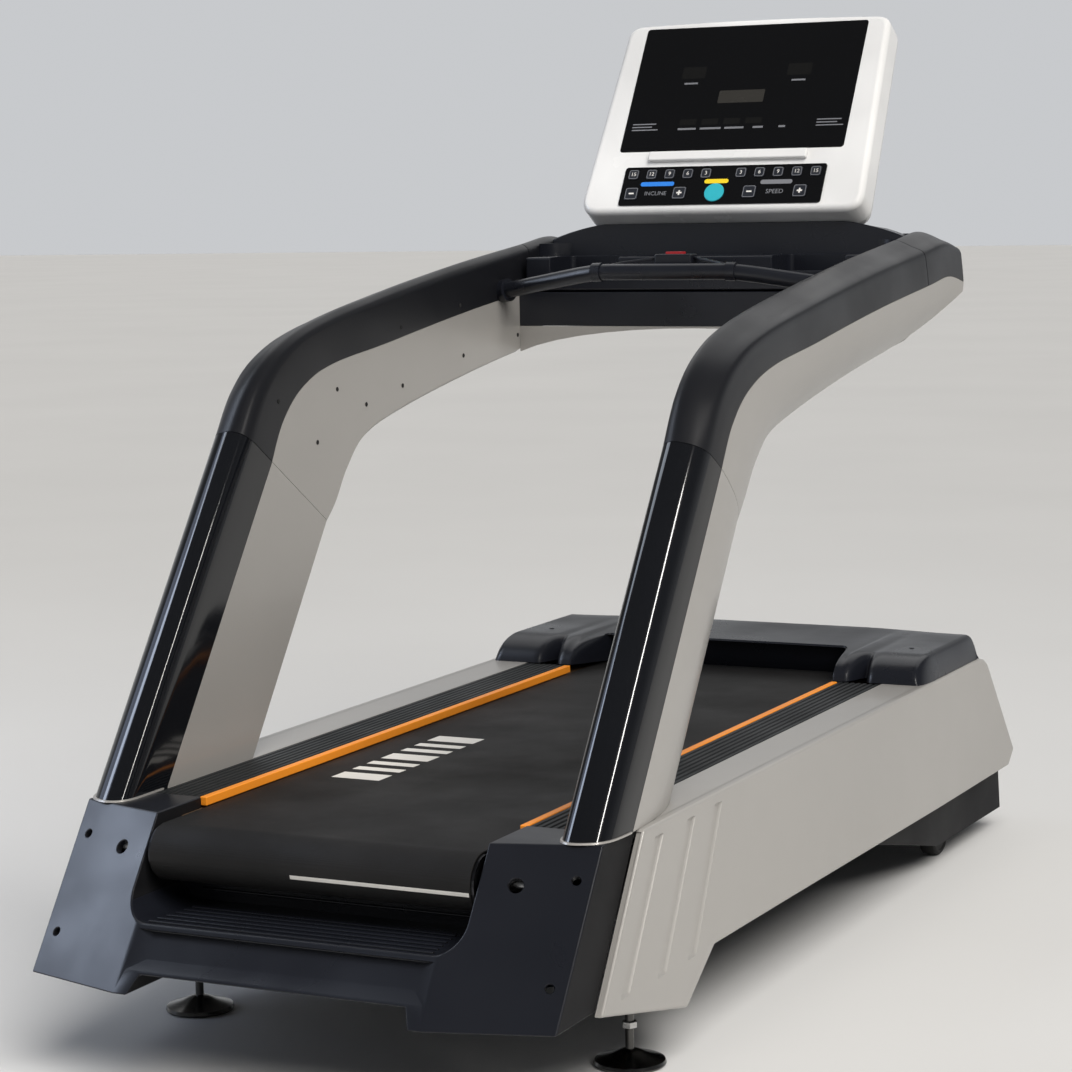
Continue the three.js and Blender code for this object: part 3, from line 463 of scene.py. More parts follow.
def belt_marks():
    """Seven printed bars across the belt, and one stripe where it turns round the rear roller."""
    bars = []
    wide, narrow, space = 46, 24, 26
    y = 552
    for width in (wide, narrow, narrow, wide, narrow, narrow, wide):
        bars.append(block("bar", (-212, -120), (y, y + width), (388.02, 388.35)))
        y += width + space
    stripe = []
    for angle in (190, 194, 198):
        a = math.radians(angle)
        row = []
        for r in (BELT_R + 0.02, BELT_R + 0.35):
            row.append((ROLLER_Y[0] + r * math.cos(a), ROLLER_Z + r * math.sin(a)))
        stripe.append(row)
    outline = [row[0] for row in stripe] + [row[1] for row in reversed(stripe)]
    bars.append(across_x("stripe", outline, -28, BELT_HALF - 2))
    for bar in bars:
        painted(bar, "print_white")
    piece(merged("marks", bars), "belt_marks", "belt")


def tread_outline(ribs=7):
    bottom = DECK - 17
    pitch = (TREAD[1] - TREAD[0]) / ribs
    points = [(TREAD[0], bottom), (TREAD[1], bottom)]
    for i in reversed(range(ribs)):
        left = TREAD[0] + i * pitch
        points += [(left + pitch - 0.4, DECK - 2.8), (left + pitch - 2.2, DECK)]
        points += [(left + 3.6, DECK), (left + 1.8, DECK - 2.8)]
    return points


def treads():
    tread = rounded(along_y("tread", tread_outline(), *TREAD_Y), 0.5, 2, 25)
    pair(tread, "tread_rail", "tread", ["tread"])
    strip = block("strip", (BELT_HALF + 0.5, TREAD[0] - GAP), TREAD_Y, (DECK - 14.5, DECK))
    pair(rounded(strip, 1.6, 3), "accent_rail", "accent", ["accent_strip"])


# ---------- rear cover ----------
SLOPE = 0.7
SWEEP = 0.29
STEP = 254
COVER_HALF = 460
COVER_LOW = 158


def rear_face(x, z):
    """Station of the raked and swept back of the cover."""
    return 197 - SLOPE * (DECK - z) - SWEEP * (COVER_HALF - abs(x))


def cover_wedge(name, inset, front):
    swept = COVER_HALF - (rear_face(COVER_HALF, COVER_LOW) - REAR) / SWEEP
    rings = []
    for x in (-COVER_HALF, -swept, swept, COVER_HALF):
        side = math.copysign(min(abs(x), COVER_HALF - inset), x)
        low, high = COVER_LOW + inset, DECK - inset
        ring = []
        for z, at_front in ((low, False), (low, True), (high, True), (high, False)):
            y = 315 - 0.648 * (DECK - z) + front if at_front else rear_face(side, z) + inset * 1.25
            ring.append(at(side, y, z))
        rings.append(ring)
    return loft(name, rings)


def foot_space(name, grow):
    side, floor, radius = 294 + grow, STEP - grow, 44
    points = [(side, 460), (-side, 460)]
    for centre, start in ((-side + radius, 180), (side - radius, 270)):
        points += arc(centre, floor + radius, radius, start, 90, 12)
    return along_y(name, points, -150, 500)


def under_lip(name, grow):
    points = [(-272 - grow, 100), (272 + grow, 100), (232 + grow, 186 + grow), (-232 - grow, 186 + grow)]
    return along_y(name, points, -200, 500)


def face_hole(x, z, radius):
    """Cutter for a screw hole square to the rear face, with a small chamfer."""
    out = Vector((math.copysign(SWEEP, x), -1, SLOPE)).normalized()
    profile = [(radius + 7, 6), (radius + 1.8, 0.8), (radius, -1.6), (radius, -34)]
    return lathe("hole", profile, at(x, rear_face(x, z), z), out, 32)


def riser_recess():
    """Cutter for the sunk face under the step."""
    rings = []
    for half, low, high, depth in ((262, 192, 247, -12), (262, 192, 247, 0), (238, 204, 243, 15)):
        rings.append([at(x, rear_face(268.6, z) + depth, z)
                      for x, z in ((-half, low), (half, low), (half, high), (-half, high))])
    return loft("riser", rings)


def rear_cover():
    cover = cut(cover_wedge("cover", 0, 0), foot_space("foot", 0), under_lip("lip", 0), riser_recess())
    rounded(cover, 5, 4)
    wall = 12
    inner = cut(cover_wedge("inner", wall, 200), foot_space("foot", wall), under_lip("lip", wall))
    cut(cover, inner)
    for s in (-1, 1):
        for x, z, radius in ((434, 356, 7), (349, 348, 11.5), (434, 218, 7)):
            cut(cover, face_hole(s * x, z, radius))
        low, high = sorted((s * 280, s * 385))
        cut(cover, block("tread_room", (low, high), (TREAD_Y[0] - GAP, 420), (375, 420)))
    ribs = []
    for i in range(6):
        y = 46 + 20 * i
        half = 250 - 3 * i
        ribs.append(rounded(block("rib", (-half, half), (y, y + 8), (STEP - 1, STEP + 3.2)), 1.6, 3))
    skirt = block("skirt", (-292, 292), (205, 211), (STEP - 4, 293))
    ridge = rounded(block("ridge", (-250, 292), (199, 206), (270, 274)), 1.5, 2)
    shell = painted(merged("cover", [cover, skirt, ridge, *ribs]), "black_plastic")
    shell.data.materials.append(MATERIALS["pan"])
    # painted shade: faces turned sideways get the darker, duller pan black, so they look darker than the
    # back though the cover is one finish
    for face in shell.data.polygons:
        face.material_index = int(abs(face.normal.x) > 0.9)
    piece(shell, "rear_housing", "black_plastic", ["rear_cover"])


# ---------- side panels ----------
PANEL = [(153, 153), (471, 83), (585, 157), (934, 154), (1741, 145), (2208, 143), (2245, 173),
         (2072, 370), (2056, 386), (2035, 397), (2010, 402.5), (1975, DECK), (315, DECK)]
GROOVES = [((370, 384), (233, 163)), ((496, 385), (371, 160)), ((606, 386), (490, 159))]


def channel(top, low, half=17, depth=4.4, draft=3.6):
    """Cutter for a sunk channel with level ends and sloping walls, in the outer face of a panel."""
    rings = []
    for x, grow in ((HALF - depth, -draft), (HALF + depth, draft)):
        across = half + grow
        ring = [(low[0] - across, low[1] - grow), (low[0] + across, low[1] - grow),
                (top[0] + across, top[1] + grow), (top[0] - across, top[1] + grow)]
        rings.append([at(x, y, z) for y, z in ring])
    return rounded(loft("channel", rings), 3.4, 3)


def side_panel():
    body = across_x("panel", PANEL, 455, HALF)
    rounded(body, 5, 4, 20)
    inner = [(100, 60), (2300, 60), (2300, DECK - 4), (100, DECK - 4)]
    cut(body, across_x("inner", inner, 440, HALF - 5))
    for top, low in GROOVES:
        cut(body, channel(top, low))
    rounded(body, 1.0, 2, 42)
    sill = rounded(block("sill", (385, 462), (316, 1700), (DECK - WALL, DECK)), 1)
    flange = across_x("flange", [(153, 153), (170, 149.5), (330, DECK - 4), (315, DECK - 4)], 461.5, 470)
    pair(merged("panel", [body, sill, flange]), "side_skirt", "silver", ["side_panel"])


# ---------- motor hood ----------
HOOD_SIDE = [(446, 0), (450, 1.2), (454, 4), (457.5, 9), (461, 16), (464.5, 25), (468, 36), (471, 48)]


def hood_profile(x):
    """Side view of the hood at one distance from the middle, from its rear foot over to the front."""
    lobe = smoothstep(256, 286, x)
    valley = math.exp(-(((x - 336) / 13) ** 2)) * smoothstep(290, 300, x)
    foot = Vector((mix(1836, 1652 + 52 * valley, lobe), mix(388.6, DECK + 0.6, lobe)))
    swell = 22 * lobe * (1 - valley)
    crest = Vector((mix(1792, 1752, lobe), 452 - 3 * valley - 5 * (1 - smoothstep(292, 306, x))))
    bulge = Vector((mix(1806, 1656 + 60 * valley, lobe), mix(430, 420 + swell * 0.6, lobe)))
    shoulder = mix(2030, 2000, smoothstep(200, 456, x))
    points = []
    for i in range(15):
        t = i / 14
        control = Vector((mix(foot.x, crest.x, 0.42), crest.y + mix(0.5, 1.5, lobe)))
        points.append(bent(foot.lerp(bulge, t), bulge.lerp(control, t), control.lerp(crest, t), t))
    for i in range(1, 8):
        points.append(Vector((mix(crest.x, shoulder, i / 8), mix(crest.y, 452, i / 8))))
    low = Vector((2068, 371))
    for i in range(9):
        points.append(bent(Vector((shoulder, 452)), Vector((shoulder + 26, 449)), low, i / 8))
    for i in range(1, 7):
        points.append(low.lerp(Vector((2241, 176)), i / 6))
    return points


def motor_hood():
    columns = [(6.0 * i, 0) for i in range(42)]
    columns += [(250 + 2.5 * i, 0) for i in range(16)]
    columns += [(290 + 4.0 * i, 0) for i in range(39)]
    columns += HOOD_SIDE
    rows = []
    for x, drop in columns:
        line = hood_profile(min(x, HOOD_SIDE[0][0]))
        row = []
        for i, p in enumerate(line):
            along = (line[min(i + 1, len(line) - 1)] - line[max(i - 1, 0)]).normalized()
            front = smoothstep(0.2, 0.7, -along.y)
            inward = Vector((0, -1)).lerp(Vector((along.y, -along.x)), front)
            spot = p + inward * drop
            row.append(at(x, spot.x, spot.y))
        rows.append(row)
    mirror = [[Vector((-p.x, p.y, p.z)) for p in row] for row in reversed(rows[1:])]
    rows = mirror + rows
    count = len(rows[0])
    faces = []
    for r in range(len(rows) - 1):
        for i in range(count - 1):
            faces.append((r * count + i, r * count + i + 1, (r + 1) * count + i + 1, (r + 1) * count + i))
    hood = raw("hood", [p for row in rows for p in row], faces)
    if sum(polygon.normal.z for polygon in hood.data.polygons) < 0:
        hood.data.flip_normals()
    shell = hood.modifiers.new("shell", "SOLIDIFY")
    shell.thickness = WALL * MM
    shell.offset = -1
    baked(hood)
    cut(hood, rounded(block("slot", (-196, 126), (1818, 1825), (448, 460)), 1.5, 3))
    screws = []
    for s in (-1, 1):
        screws.append(lathe("screw", [(0.5, -3), (5, -3), (5, 0.8), (4, 1.4), (0.5, 1.4)],
                            at(s * 398, 1800, 452), (0, 0, 1), 20))
    piece(merged("hood", [hood, *screws]), "hood_shell", "black_plastic", ["motor_hood"], smooth=40)


# ---------- uprights and handrails ----------
UPRIGHT_CREST = [(-20, 119), (584.7, 968.6)]
UPRIGHT_EDGE = [(250, -68), (858.7, 784.6)]
ARM_CREST = [(585, 969), (641, 1046), (722, 1103), (860, 1147), (1117, 1190), (1420, 1231), (1700, 1262),
             (1830, 1276), (1924, 1262)]
ARM_EDGE = [(859, 785), (893, 816), (940, 876), (1010, 930), (1165, 970), (1440, 1018), (1718, 1056),
            (1838, 1064), (1932, 1074)]
NOSE_UPRIGHT = [(385, 42), (387, 24), (395, 8), (412, 0), (432, 4), (449, 14), (460, 30), (464, 52)]
NOSE_ARM = [(385, 20), (388, 9), (394, 3), (401, 0), (412, 2), (434, 12), (458, 24), (463, 48)]
BLACK_INNER = (107, 93)
BLACK_OUTER = (88, 88)
SILVER_SIDE = [(463, 0.42), (456, 0.58), (444, 0.72), (424, 0.86), (402, 0.96), (389, 1)]
SIDE_FROM = 0.28
CAP_AT = 0.75


def spline_point(points, t):
    """Catmull-Rom point with evenly counted knots, as the CAD covers use."""
    place = (len(points) - 1) * t
    i = min(int(place), len(points) - 2)
    w = place - i
    p = [Vector(points[min(max(k, 0), len(points) - 1)]) for k in (i - 1, i, i + 1, i + 2)]
    v0, v1 = (p[2] - p[0]) / 2, (p[3] - p[1]) / 2
    return ((2 * p[1] - 2 * p[2] + v0 + v1) * w ** 3 + (3 * p[2] - 3 * p[1] - 2 * v0 - v1) * w ** 2
            + v0 * w + p[1])


def smooth_line(points, steps=5):
    """A curve through points whose speed follows their spacing, so that it doesn't overshoot."""
    p = [Vector(q) for q in points]
    out = []
    for i in range(len(p) - 1):
        length = (p[i + 1] - p[i]).length
        ends = []
        for k in (i, i + 1):
            a, b = p[max(k - 1, 0)], p[min(k + 1, len(p) - 1)]
            reach = sum((p[m + 1] - p[m]).length for m in range(max(k - 1, 0), min(k + 1, len(p) - 1)))
            ends.append((b - a) / reach * length)
        for j in range(steps):
            t = j / steps
            out.append(p[i] * (2 * t ** 3 - 3 * t ** 2 + 1) + ends[0] * (t ** 3 - 2 * t ** 2 + t)
                       + p[i + 1] * (3 * t ** 2 - 2 * t ** 3) + ends[1] * (t ** 3 - t ** 2))
    out.append(p[-1])
    return out


def black_line(t, _depth=0):
    """Section of the black cover. Only the silver cover's section needs the depth."""
    nose = [(mix(a[0], b[0], t), mix(a[1], b[1], t)) for a, b in zip(NOSE_UPRIGHT, NOSE_ARM)]
    return smooth_line([(385, mix(*BLACK_INNER, t)), *nose, (466, mix(*BLACK_OUTER, t))])


def silver_line(t, depth):
    start = mix(*BLACK_OUTER, t) + GAP
    side = [(x, mix(start, depth, (part - SIDE_FROM) / (1 - SIDE_FROM))) for x, part in SILVER_SIDE]
    curve = smooth_line([(466, start), *side, (385, depth - 5)])
    return curve + [Vector((385, mix(*BLACK_INNER, t) + GAP))]


def wall_of(line, thick):
    inner = []
    for i, p in enumerate(line):
        along = line[min(i + 1, len(line) - 1)] - line[max(i - 1, 0)]
        if i in (0, len(line) - 1):
            inner.append(Vector((p.x - math.copysign(thick, along.y), p.y)))
        else:
            along.normalize()
            inner.append(Vector((p.x - along.y * thick, p.y + along.x * thick)))
    return list(line) + inner[::-1]


def cover_rings(crest, edge, fractions, line, thick=WALL):
    rings = []
    for f in fractions:
        top, low = spline_point(crest, f), spline_point(edge, f)
        into = (low - top).normalized()
        ring = wall_of(line(f, (low - top).length), thick)
        rings.append([at(p.x, top.x + into.x * p.y, top.y + into.y * p.y) for p in ring])
    return rings


def arm_rings(line, start, end, count):
    fractions = [mix(start, end, i / count) for i in range(count + 1)]
    return cover_rings(ARM_CREST, ARM_EDGE, fractions, lambda f, depth: line(min(1, f * 3.2), depth))


def above(obj, point, normal):
    """Keeps what lies on the side of a plane that normal points to, and closes the cut."""
    shape = bmesh.new()
    shape.from_mesh(obj.data)
    everything = shape.verts[:] + shape.edges[:] + shape.faces[:]
    done = bmesh.ops.bisect_plane(shape, geom=everything, plane_co=point, plane_no=normal, clear_inner=True)
    edges = [e for e in done["geom_cut"] if isinstance(e, bmesh.types.BMEdge)]
    bmesh.ops.triangle_fill(shape, edges=edges, use_beauty=True)
    bmesh.ops.recalc_face_normals(shape, faces=shape.faces)
    shape.to_mesh(obj.data)
    shape.free()
    return obj


def collar():
    """Pale trim round the foot of the nose, where it enters the rear cover."""
    width, height = 3.2, 2.6
    line = black_line(0)[1:-1]
    outer = []
    for i, p in enumerate(line):
        along = (line[min(i + 1, len(line) - 1)] - line[max(i - 1, 0)]).normalized()
        outer.append(Vector((p.x + along.y * width, p.y - along.x * width)))
    rings = cover_rings(UPRIGHT_CREST, UPRIGHT_EDGE, [0.2 + 0.02 * i for i in range(20)],
                        lambda f, depth: outer, width)
    ring = above(loft("collar", rings), at(0, 0, DECK + 0.2), Vector((0, 0, 1)))
    return above(ring, at(0, 0, DECK + 0.2 + height), Vector((0, 0, -1)))


def upright(line):
    rings = cover_rings(UPRIGHT_CREST, UPRIGHT_EDGE, [i / 24 for i in range(25)],
                        lambda f, depth: line(0, depth))
    return above(loft("upright", rings), at(0, 0, DECK + GAP), Vector((0, 0, 1)))


def inner_screws():
    """Small dark screws on the inner face of the handrail, each at a station and a height."""
    spots = [(700, 1013), (905, 1020), (1150, 1120), (830, 930), (1010, 985), (1390, 1150), (1150, 1010),
             (1400, 1052), (1640, 1190), (1640, 1080)]
    heads = []
    for y, z in spots:
        heads.append(lathe("head", [(0.4, -2), (4.2, -2), (4.2, 0.6), (3.2, 1.3), (0.4, 1.3)],
                           at(384.9, y, z), (-1, 0, 0), 20))
    return merged("heads", heads)


def uprights():
    pair(rounded(upright(black_line), 0.9, 2, 50), "upright_front_skin", "gloss_black", ["upright_nose"])
    pair(rounded(upright(silver_line), 0.9, 2, 50), "upright_side_skin", "silver", ["upright_shell"])
    pair(rounded(collar(), 0.8, 2, 50), "upright_collar", "silver")
    grip = loft("grip", arm_rings(black_line, 0.001, CAP_AT - 0.001, 96))
    pair(rounded(grip, 0.9, 2, 50), "rail_grip", "black_plastic", ["handrail_grip"], finish="grip")
    cap = loft("cap", arm_rings(black_line, CAP_AT, 1, 28))
    pair(rounded(cap, 0.9, 2, 50), "rail_end_cap", "black_plastic", finish="grip")
    shell = loft("shell", arm_rings(silver_line, 0.001, 1, 120))
    rear_low, front_low = (1650, 1052), (1915, 1150)
    under = Vector((0, rear_low[1] - front_low[1], front_low[0] - rear_low[0]))
    above(shell, at(0, *rear_low), under.normalized())
    pair(rounded(shell, 0.9, 2, 50), "rail_side_skin", "silver", ["handrail_shell"])
    pair(inner_screws(), "rail_screws", "black_plastic", finish="rubber")


# ---------- bridge ----------
BRIDGE = {"half": 384.6, "rear": 1650, "front": 1924, "lip": 1098, "low": 1150}


def cowl(name, inset):
    """The rise of the rear wall under the console, highest in the middle."""
    rings = []
    for i in range(-19, 20):
        x = 20 * i
        reach = max(0.0, (abs(x) - 240) / 140)
        top = 1302 - 32 * reach ** 1.6
        front = 1862 - 2 * inset
        side = [(1797 + inset, 1200 + 2 * inset), (1800.5 + inset, min(1300, top) - 1.6 * inset),
                (1829, min(1284, top) - 1.2 * inset), (front, 1266 - inset), (front, 1200)]
        rings.append([at(math.copysign(min(abs(x), 380 - inset), x), y, z) for y, z in side])
    return loft(name, rings)


def inner_corner(s):
    """Cove between the rear wall and one handrail."""
    half, wall, radius = BRIDGE["half"], 1799, 52
    plan = [(half, wall), *arc(half - radius, wall - radius, radius, 0, 90, 12)]
    rings = [[at(s * x, y, z) for x, y in plan] for z in (1168, 1238, 1262)]
    return rounded(loft("corner", rings), 2, 3, 50)


def bridge_cover():
    half, rear, front, lip = BRIDGE["half"], BRIDGE["rear"], BRIDGE["front"], BRIDGE["lip"]
    outline = [(rear, lip), (rear, 1166), (1794, 1168), (1800, 1240), (1832, 1273), (front - 3, 1262),
               (front, BRIDGE["low"])]
    hollow = [(rear + 3, 1000), (rear + 3, 1163), (1797, 1165), (1803, 1238), (1833, 1269.5),
              (front - 6, 1259), (front - 3, 1000)]
    cover = cut(across_x("cover", outline, -half, half), across_x("hollow", hollow, -half - 5, half + 5))
    arch = cut(cowl("cowl", 0), cowl("inside", WALL))
    corners = [inner_corner(s) for s in (-1, 1)]
    rounded(cover, 1.2, 2)
    rounded(arch, 2.5, 3)
    bed = rounded(block("bed", (-372, 372), (1654, 1793.6), (1168.4, 1236)), 5, 3)
    for x in ((150, 330), (-330, -150)):
        cut(bed, rounded(block("pocket", x, (1664, 1786), (1182, 1300)), 12, 4))
        cut(bed, block("notch", (x[0] + 14, x[1] - 14), (1640, 1690), (1206, 1300)))
    cut(bed, rounded(block("shelf", (-140, 140), (1664, 1786), (1224, 1300)), 6, 3))
    rounded(bed, 3.2, 3, 50)
    piece(merged("bridge", [cover, arch, bed, *corners]), "bridge_body", "black_plastic", ["bridge_cover"])


def handlebar():
    corners = [(-384.4, 1572, 1171), (-190, 1517, 1203), (-120, 1505, 1210), (120, 1505, 1210),
               (190, 1517, 1203), (384.4, 1572, 1171)]
    knees = {1: (-143, 1505, 1210), 3: (143, 1505, 1210)}
    path = []
    for i in range(5):
        a, b = at(*corners[i]), at(*corners[i + 1])
        for k in range(12):
            t = k / 12
            path.append(bent(a, at(*knees[i]), b, t) if i in knees else a.lerp(b, t))
    path.append(at(*corners[-1]))
    parts = [tube("bar", path, 16)]
    for s in (-1, 1):
        sleeve = [at(s * x, y, z) for x, y, z in ((150, 1506, 1209.5), (131, 1505, 1210))]
        parts.append(tube("sleeve", sleeve, 18.4))
        flange = [at(s * x, y, z) for x, y, z in ((384.2, 1572, 1171), (366, 1567, 1174))]
        parts.append(tube("flange", flange, 23))
        brace = [[at(s * x, y + dy, z + dz) for dy, dz in ((0, 0), (16, 0), (16, 6), (0, 6))]
                 for x, y, z in ((148, 1500, 1214), (96, 1526, 1224), (37, 1560, 1232))]
        parts.append(rounded(loft("brace", brace), 1.5, 2))
    dock = rounded(block("dock", (-39, 39), (1546, 1582), (1218, 1243)), 4, 3)
    cut(dock, block("slot", (-20.5, 20.5), (1555.5, 1572.5), (1230, 1250)))
    parts.append(dock)
    piece(merged("handlebar", parts), "cross_handlebar", "black_plastic", ["handlebar"])
    key = rounded(block("key", (-19, 19), (1557, 1571), (1231, 1247.5)), 1.5, 2)
    piece(key, "safety_key_grip", "red_plastic", ["safety_key"], body="safety_key")


# ---------- console ----------
console_place = Matrix.Translation(at(0, CONSOLE["y"], CONSOLE["z"])) @ Matrix.Rotation(
    math.radians(CONSOLE["tilt"]), 4, "X")


def local(x, y, z):
    """A point of the console: across, up its face and out of it, in millimetres."""
    return console_place @ Vector((x * MM, y * MM, z * MM))


def console_outline(inset=0.0):
    steps = 8
    bottom, top = 305 - inset, 290 - inset
    low, high = 4 + inset, 466 - inset
    corner_low, corner_high = max(40 - inset, 6), max(32 - inset, 6)
    right = []

    def bend(a, b, c):
        for i in range(steps + 1):
            right.append(bent(Vector(a), Vector(b), Vector(c), i / steps))

    bend((bottom - corner_low, low), (bottom, low), (bottom, low + corner_low))
    bend((top, high - corner_high - 6), (top, high - 6), (top - corner_high, high - 5))
    for i in range(1, steps):
        x = mix(top - corner_high, 0, i / steps)
        right.append(Vector((x, high - 5 * (x / (top - corner_high)) ** 2)))
    right.append(Vector((0, high)))
    left = [Vector((-p.x, p.y)) for p in reversed(right[:-1])]
    return right + left


def console_loft(name, sections):
    """A closed skin through console outlines, each given by its inset and its depth."""
    return loft(name, [[local(p.x, p.y, z) for p in console_outline(inset)] for inset, z in sections])


def slab(name, outline, z0, z1):
    return loft(name, [[local(p[0], p[1], z) for p in outline] for z in (z0, z1)])


def rectangle(x0, x1, y0, y1, radius=0.0):
    if not radius:
        return [(x0, y0), (x1, y0), (x1, y1), (x0, y1)]
    points = []
    corners = ((x1 - radius, y0 + radius, 270), (x1 - radius, y1 - radius, 0),
               (x0 + radius, y1 - radius, 90), (x0 + radius, y0 + radius, 180))
    for x, y, start in corners:
        points += arc(x, y, radius, start, 90, 5)
    return points


def centred(x, y, width, height, radius=0.0):
    return rectangle(x - width / 2, x + width / 2, y - height / 2, y + height / 2, radius)


def console_housing():
    face, edge = CONSOLE["face"], 13
    sections = [(0, -30)]
    for i in range(9):
        a = math.radians(90 * i / 8)
        sections.append((edge * (1 - math.cos(a)), face - edge + edge * math.sin(a)))
    front = console_loft("front", sections)
    cut(front, slab("hollow", console_outline(5), -60, face - 6))
    cut(front, slab("bed", rectangle(-244.4, 244.4, 147.1, 448.4, 7), face - 2.8, 60))
    cut(front, slab("window", rectangle(-210, 210, 22, 105, 5), -20, 60))
    ledge = rounded(slab("ledge", rectangle(-172, 172, 121, 143), face - 0.5, face + 10), 3.4, 4)
    piece(merged("front", [front, ledge]), "console_shell", "white_plastic", ["console_front"], smooth=38)
    back = console_loft("back", ((1, -30.4), (3, -42), (8, -54), (16, -65), (28, -73), (44, -78)))
    inside = ((4.5, -20), (7, -42), (12, -53), (20, -62), (34, -70), (48, -74))
    cut(back, console_loft("inside", inside))
    for s in (-1, 1):
        low, high = sorted((s * 58, s * 86))
        cut(back, slab("neck_room", rectangle(low, high, -20, 152), -90, -50))
    for i in range(9):
        vent = rectangle(-70, 70, 250 + 14 * i, 255 + 14 * i, 2)
        cut(back, slab("vent", vent, -90, -70))
    piece(back, "console_rear_shell", "white_plastic", ["console_back"], smooth=38)


def dash(x, y, width, height, key, z):
    return painted(slab("dash", centred(x, y, width, height), z, z + 0.12), key)


def lettering(text, x, y, size, key, z):
    curve = bpy.data.curves.new("letters", "FONT")
    curve.body = text
    curve.size = size * MM
    curve.align_x = "CENTER"
    curve.align_y = "CENTER"
    curve.extrude = 0.1 * MM
    curve.resolution_u = 3
    obj = placed("letters", curve)
    graph = bpy.context.evaluated_depsgraph_get()
    mesh = bpy.data.meshes.new_from_object(obj.evaluated_get(graph))
    bpy.data.objects.remove(obj)
    mesh.transform(console_place @ Matrix.Translation(Vector((x, y, z)) * MM))
    return painted(placed("letters", mesh), key)


def console_display():
    face = CONSOLE["face"]
    glass = rounded(slab("glass", rectangle(-244, 244, 147.5, 448, 6.5), face - 2.4, face + 0.2), 0.6, 2)
    painted(glass, "screen")
    marks = []
    z = face + 0.22
    marks.append(painted(slab("lcd", rectangle(-50, 50, 260, 290, 3), z, z + 0.1), "lcd"))
    windows = [centred(-105 + 48 * i, 216, 36, 14, 2) for i in range(4)]
    windows += [centred(x, 336, 52, 28, 3) for x in (-116, 116)]
    for outline in windows:
        marks.append(painted(slab("window", outline, z, z + 0.08), "display"))
    for x in (-118, 118):
        marks.append(dash(x, 310, 30, 4, "print_grey", z))
    for i, width in enumerate((40, 46, 42, 22, 14)):
        marks.append(dash(-105 + 52 * i, 200, width, 4.5, "print_grey", z))
    for i, width in enumerate((52, 44, 58)):
        for x in (-228, 176):
            marks.append(dash(x + width / 2, 214 - 7 * i, width, 2.5, "print_grey", z))
    piece(merged("display", [glass, *marks]), "console_glass", "screen", ["console_screen"])


SMALL_Y, SMALL_HALF = 91, 11
LARGE_Y, LARGE_HALF = 46, 14
START_X, START_R = -12, 21
KEY_TOP = CONSOLE["face"] + 4.5


def keys():
    """Name, place, half size and sign of every square key."""
    rows = []
    for i in range(5):
        x = 38 + 40 * i
        rows.append((f"incline_preset_key_{i + 1}", -x, SMALL_Y, SMALL_HALF, str(3 * (i + 1))))
        rows.append((f"speed_preset_key_{i + 1}", x, SMALL_Y, SMALL_HALF, str(3 * (i + 1))))
    rows.append(("incline_down_key", -194, LARGE_Y, LARGE_HALF, "-"))
    rows.append(("incline_up_key", -88, LARGE_Y, LARGE_HALF, "+"))
    rows.append(("speed_down_key", 64, LARGE_Y, LARGE_HALF, "-"))
    rows.append(("speed_up_key", 172, LARGE_Y, LARGE_HALF, "+"))
    return rows


def key_cap(node, x, y, half, sign):
    def square(inset, radius):
        side = 2 * (half - inset)
        return centred(x, y, side, side, radius)

    base = slab("cap", square(0, 4.6), CONSOLE["face"] - 2.4, KEY_TOP)
    rim = slab("rim", square(1, 4), KEY_TOP, KEY_TOP + 0.1)
    cut(rim, slab("inside", square(2.2, 3), KEY_TOP - 1, KEY_TOP + 1))
    parts = [painted(rounded(base, 0.8, 2, 50), "key"), painted(rim, "print_grey")]
    z = KEY_TOP + 0.02
    if sign in "+-":
        parts.append(dash(x, y, half * 0.8, half * 0.24, "print_white", z))
        if sign == "+":
            parts.append(dash(x, y, half * 0.24, half * 0.8, "print_white", z + 0.03))
    else:
        parts.append(lettering(sign, x, y, half * 1.1, "print_white", z + 0.1))
    piece(merged(node, parts), f"{node}_cap", "key", [node], body=node)


def start_key():
    profile = [(START_R, -7), (START_R, -1), (START_R - 0.8, -0.2), (START_R - 2.5, 0), (0.5, -0.5)]
    centre = local(START_X, LARGE_Y, KEY_TOP)
    out = console_place.to_3x3() @ Vector((0, 0, 1))
    cap = lathe("start", profile, centre, out, 48)
    piece(cap, "start_key_cap", "start_key", ["start_key"], body="start_key")


def keypad():
    face = CONSOLE["face"]
    panel = slab("panel", rectangle(-219, 219, 19, 109, 6), face + GAP, face + GAP + 2)
    room = 0.5
    holes = []
    for _, x, y, half, _ in keys():
        side = 2 * (half + room)
        holes.append(centred(x, y, side, side, 5))
    holes.append(arc(START_X, LARGE_Y, START_R + room, 0, 360, 40)[:-1])
    cut(panel, *[slab("hole", outline, face - 5, face + 9) for outline in holes])
    painted(panel, "screen")
    z = face + GAP + 2.02
    marks = []
    pills = ((-141, 68.5, 74, "print_blue"), (START_X, 72.5, 52, "print_yellow"),
             (118, 68.5, 68, "print_grey"))
    for x, y, width, key in pills:
        marks.append(painted(slab("pill", centred(x, y, width, 10, 4.6), z, z + 0.15), key))
    marks.append(lettering("INCLINE", -141, 46, 13, "print_grey", z + 0.1))
    marks.append(lettering("SPEED", 118, 46, 14, "print_grey", z + 0.1))
    piece(merged("keypad", [panel, *marks]), "keypad_face", "screen", ["keypad_panel"])
    for row in keys():
        key_cap(*row)
    start_key()


